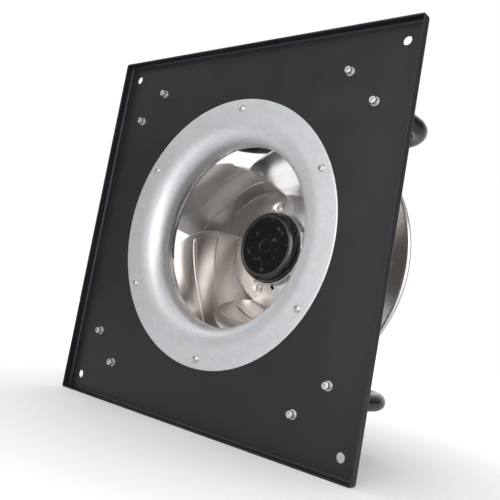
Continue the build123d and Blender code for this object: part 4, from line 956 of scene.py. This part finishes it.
def blade_face(along, span):
    """A parabola from leading edge to tip, bowed sideways, while the depth goes by a power of along."""

    def between(pair):
        """A value that goes straight from the back plate to the shroud."""
        return pair[0] + (pair[1] - pair[0]) * span

    edge = np.radians(along_edge(EDGE_ANGLES, span))
    x0, z0 = along_edge(EDGE_RADII, span) * np.cos(edge), along_edge(EDGE_RADII, span) * np.sin(edge)
    tip = np.radians(between(TIP_ANGLES))
    x1, z1 = BLADE_TIP_RADIUS * np.cos(tip), BLADE_TIP_RADIUS * np.sin(tip)
    y0, y1 = along_edge(EDGE_DEPTHS, span), between(TIP_DEPTHS)
    run_x, run_z = x1 - x0, z1 - z0
    bow = 2 * between(BLADE_BOWS) / np.hypot(run_x, run_z)
    middle_x = x0 + run_x * BLADE_BOW_PLACE + run_z * bow
    middle_z = z0 + run_z * BLADE_BOW_PLACE - run_x * bow
    rest = 1 - along
    x = rest**2 * x0 + 2 * along * rest * middle_x + along**2 * x1
    z = rest**2 * z0 + 2 * along * rest * middle_z + along**2 * z1
    y = y0 + (y1 - y0) * along ** between(BLADE_RISES)
    return np.stack([x, y, z], axis=-1)


def span_limits(along):
    """The spans where each column of the blade meets the back plate and the shroud."""
    spans = np.linspace(*BLADE_SPANS, BLADE_SPAN_TRIES)
    a, s = np.meshgrid(along, spans, indexing="ij")
    p = blade_face(a, s)
    radius = np.hypot(p[..., 0], p[..., 2])
    hub, shroud = hub_face(), shroud_face()
    hub_y = np.interp(radius, hub[:, 0], hub[:, 1])
    shroud_y = np.interp(radius, shroud[:, 0], shroud[:, 1])
    shroud_y = np.where(radius < SHROUD_INLET_RADIUS, SHROUD_INLET_Y, shroud_y)
    inside = (p[..., 1] < hub_y) & (p[..., 1] > shroud_y)
    first = spans[np.argmax(inside, axis=1)]
    last = spans[len(spans) - 1 - np.argmax(inside[:, ::-1], axis=1)]
    return first, last


def rib_height(along, span, length):
    """Height of the embossed ribs: a flat top between two smooth flanks, which fades out at its ends."""
    height = np.zeros_like(along)
    start, end = RIB_ENDS
    for low, high in RIB_SPANS:
        middle = low + (high - low) * along
        bulge = smooth_step((RIB_HALF_WIDTH - np.abs(span - middle) * length) / RIB_FLANK)
        fade = smooth_step((along - start) / RIB_FADES[0]) * smooth_step((end - along) / RIB_FADES[1])
        height = np.maximum(height, bulge * fade)
    return height * RIB_HEIGHT


def blade_grid():
    """The two faces of one blade with its ribs, trimmed between back plate and shroud."""
    along = np.concatenate([np.linspace(0, 0.02, 5), np.linspace(0.025, 1, BLADE_COLUMNS)])
    low, high = span_limits(along)
    share = np.linspace(0, 1, BLADE_ROWS)
    a = np.broadcast_to(along[:, None], (len(along), len(share)))
    s = low[:, None] + (high - low)[:, None] * share
    face = blade_face(a, s)
    step = 1e-4
    run = blade_face(a + step, s) - blade_face(np.maximum(a - step, 0), s)
    rise = blade_face(a, s + step) - blade_face(a, s - step)
    normal = np.cross(run, rise)
    normal /= np.linalg.norm(normal, axis=-1, keepdims=True)
    height_of_span = np.linalg.norm(rise, axis=-1) / (2 * step)
    rib = rib_height(a, s, height_of_span)[..., None]
    uv = np.stack([a, s], axis=-1)
    front = face - normal * rib
    back = face + normal * (SHEET_THICKNESS - RIB_SHARE_BEHIND * rib)
    onward = run / np.linalg.norm(run, axis=-1, keepdims=True) * BLADE_EDGE_BULGE
    nose = (front[:1] + back[:1]) / 2 - onward[:1]
    tail = (front[-1:] + back[-1:]) / 2 + onward[-1:]
    loop = np.concatenate([front, tail, back[::-1], nose])
    loop_uv = np.concatenate([uv, uv[-1:], uv[::-1], uv[:1]])
    return loop, loop_uv


def blade_set():
    """Five copies of the blade, each a turn of 72 degrees on, closed at both long edges."""
    loop, uv = blade_grid()
    rows = len(loop)
    half = rows // 2 - 1
    for i in range(BLADE_COUNT):
        turned_loop = placed(loop, 0, 0, 0, turn=360.0 / BLADE_COUNT * i)
        skin = surface(turned_loop, close_rows=True, uv=uv)
        caps = []
        for edge in (0, -1):
            nose, tail = turned_loop[-1:, edge], turned_loop[half:half + 1, edge]
            front = np.concatenate([nose, turned_loop[:half, edge], tail])
            back = np.concatenate([nose, turned_loop[half + 1:2 * half + 1, edge][::-1], tail])
            edge_uv = np.concatenate([uv[-1:, edge], uv[:half + 1, edge]])
            caps.append(surface(np.stack([front, back], axis=1), uv=np.stack([edge_uv, edge_uv], axis=1)))
        piece(f"blade_{i + 1}", [skin, *caps], "rolled", TURNING,
              ["impeller_blades"], sharp=50)


def shroud():
    """The shroud's sheet turned round the shaft."""
    skin = turned(sheet_outline(shroud_face(), -SHEET_THICKNESS), SHROUD_STEPS)
    piece("front_shroud", [skin], "spun", TURNING, ["impeller_shroud"])


def hub_fastenings():
    """The five screws in the hub's pockets."""
    seat = ROTOR_FLANGE_Y - BACK_PLATE_THICKNESS
    spots = on_circle(HUB_SCREW_CIRCLE_RADIUS, HUB_SCREW_COUNT, HUB_SCREW_FIRST_ANGLE)
    screws("pocket_screws", pan_head(*HUB_SCREW_HEAD), HUB_SCREW_THREAD, spots, seat, "zinc", TURNING,
           "hub_screws")


def rotor_cup():
    """The rotor's outline: recess in the face, rounded edge, long side, bolting ring and the bore behind."""
    edge, small = ROTOR_EDGE_RADIUS, ROTOR_SMALL_EDGE
    front = ROTOR_FRONT_Y
    recess, recess_y = ROTOR_RECESS_RADIUS, front + ROTOR_RECESS_DEPTH
    wall_end = (recess, front + ROTOR_RECESS_WALL_END)
    bore, bore_y = ROTOR_RADIUS - ROTOR_WALL, front + ROTOR_FACE_THICKNESS
    ring, ring_y = ROTOR_FLANGE_RADIUS, ROTOR_FLANGE_Y
    ring_end = ring_y + ROTOR_FLANGE_THICKNESS
    outline = chain(
        line((0, recess_y), (recess - ROTOR_RECESS_SLANT, recess_y), 8),
        line((recess - ROTOR_RECESS_SLANT, recess_y), wall_end, 4),
        arc((recess + small, front + small), small, 180, 270, 5),
        line((recess + small, front), (ROTOR_RADIUS - edge, front), 24),
        arc((ROTOR_RADIUS - edge, front + edge), edge, -90, 0, 14),
        line((ROTOR_RADIUS, front + edge), (ROTOR_RADIUS, ring_y), 10),
        line((ROTOR_RADIUS, ring_y), (ring - small, ring_y), 6),
        arc((ring - small, ring_y + small), small, -90, 0, 5),
        line((ring, ring_y + small), (ring, ring_end - small), 3),
        arc((ring - small, ring_end - small), small, 0, 90, 5),
        line((ring - small, ring_end), (ROTOR_RADIUS, ring_end), 6),
        line((ROTOR_RADIUS, ring_end), (ROTOR_RADIUS, ROTOR_REAR_Y), 10),
        line((ROTOR_RADIUS, ROTOR_REAR_Y), (bore, ROTOR_REAR_Y), 3),
        line((bore, ROTOR_REAR_Y), (bore, bore_y), 10),
        line((bore, bore_y), (0, bore_y), 8),
    )
    skin = turned(outline, ROTOR_STEPS, closed=False)
    piece("rotor_cup", [skin], "rotor", TURNING, ["rotor_can"], sharp=35)


# Stage, light and camera


def make_stage():
    """A pale floor under the object that glows, the more with the distance: the weaker glow near the fan is
    painted shade round it, also in reflections, and the floor keeps the shadow.
    """
    low = cad_box[0].z
    made, tree, shader = shader_material("studio_floor", Roughness=0.95)
    grain = use_group(tree, GRAIN, Size=0.004, Blotch__Size=0.5)
    tone = blend_colours(tree, grain.outputs["Blotches"], (0.79, 0.79, 0.80, 1), (0.81, 0.81, 0.82, 1))
    tree.links.new(tone, shader.inputs["Base Color"])
    rays = add(tree, "ShaderNodeLightPath")
    mirrored = maths(tree, "MAXIMUM", rays.outputs["Is Glossy Ray"], rays.outputs["Is Transmission Ray"])
    place = object_place(tree)
    away = add(tree, "ShaderNodeVectorMath", {"operation": "LENGTH"}, _0=place).outputs["Value"]
    # Painted shade: the glow for the camera, and the glow seen in reflections, are weaker close to the fan
    # than far away.
    glow = ramp(tree, away, *FLOOR_GLOW_REACH, *FLOOR_GLOW)
    mirror_glow = ramp(tree, away, *FLOOR_GLOW_REACH, *FLOOR_MIRRORED)
    direct = maths(tree, "MULTIPLY", rays.outputs["Is Camera Ray"], glow)
    strength = maths(tree, "ADD", direct, maths(tree, "MULTIPLY", mirrored, mirror_glow))
    tree.links.new(strength, shader.inputs["Emission Strength"])
    shader.inputs["Emission Color"].default_value = (1, 1, 1, 1)
    reach = np.linspace(-FLOOR_REACH, FLOOR_REACH, 9)
    x, y = np.meshgrid(reach, reach, indexing="ij")
    mesh = mesh_from("studio_floor", [surface(np.stack([x, y, 0 * x + low], axis=-1))], 30)
    mesh.materials.append(made)
    put_in_scene("studio_floor", mesh)


def dot(tree, direction, axis):
    """How far a direction goes along an axis."""
    settings = {"operation": "DOT_PRODUCT"}
    return add(tree, "ShaderNodeVectorMath", settings, _0=direction, _1=axis).outputs["Value"]


def make_light():
    """A studio: white backdrop behind the fan, a dark card at the left front, a brighter upper left."""
    world = bpy.data.worlds.new("studio")
    bpy.context.scene.world = world
    world.use_nodes = True
    tree = world.node_tree
    background = tree.nodes["Background"]
    rays = add(tree, "ShaderNodeLightPath")
    direction = add(tree, "ShaderNodeTexCoord").outputs["Generated"]
    room = ramp(tree, dot(tree, direction, ROOM_AXIS), *ROOM_RAMP, *ROOM_LEVELS)
    shade = ramp(tree, dot(tree, direction, DARK_CARD_AXIS), *DARK_CARD_RAMP, 1.0, DARK_CARD_SHARE)
    room = maths(tree, "MULTIPLY", room, shade)
    backdrop = ramp(tree, dot(tree, direction, BACKDROP_AXIS), *BACKDROP_RAMP)
    seen = maths(tree, "MAXIMUM", backdrop, rays.outputs["Is Camera Ray"])
    level = ramp(tree, seen, 0.0, 1.0, room, 1.0)
    tree.links.new(level, background.inputs["Strength"])
    background.inputs["Color"].default_value = (1, 1, 1, 1)
    for name, place, size, power, colour in LAMPS:
        lamp = bpy.data.lights.new(name, "AREA")
        lamp.shape = "RECTANGLE"
        lamp.size, lamp.size_y = size
        lamp.energy = power
        lamp.color = colour
        made = put_in_scene(name, lamp)
        made.location = place
        aim = Vector(LAMP_AIM) - Vector(place)
        made.rotation_euler = aim.to_track_quat("-Z", "Y").to_euler()


def make_camera():
    """The camera, whose columns are its right, up and backward directions."""
    data = bpy.data.cameras.new("camera")
    data.lens = CAMERA_LENS
    data.sensor_width = CAMERA_SENSOR
    data.clip_start = CAMERA_NEAR
    made = put_in_scene("camera", data)
    back = -Vector(CAMERA_FORWARD)
    turn = Matrix((CAMERA_RIGHT, CAMERA_UP, back)).transposed()
    made.matrix_world = Matrix.Translation(CAMERA_PLACE) @ turn.to_4x4()
    bpy.context.scene.camera = made


make_camera()
make_light()
make_stage()
dress_nodes()
nozzle_ring()
fastenings()
bent_tube("upper_tube", "strut_tube_upper", TUBE_Z)
bent_tube("lower_tube", "strut_tube_lower", -TUBE_Z)
shroud()
back_plate()
blade_set()
hub_fastenings()
rotor_cup()
bpy.context.scene.view_settings.view_transform = "Standard"
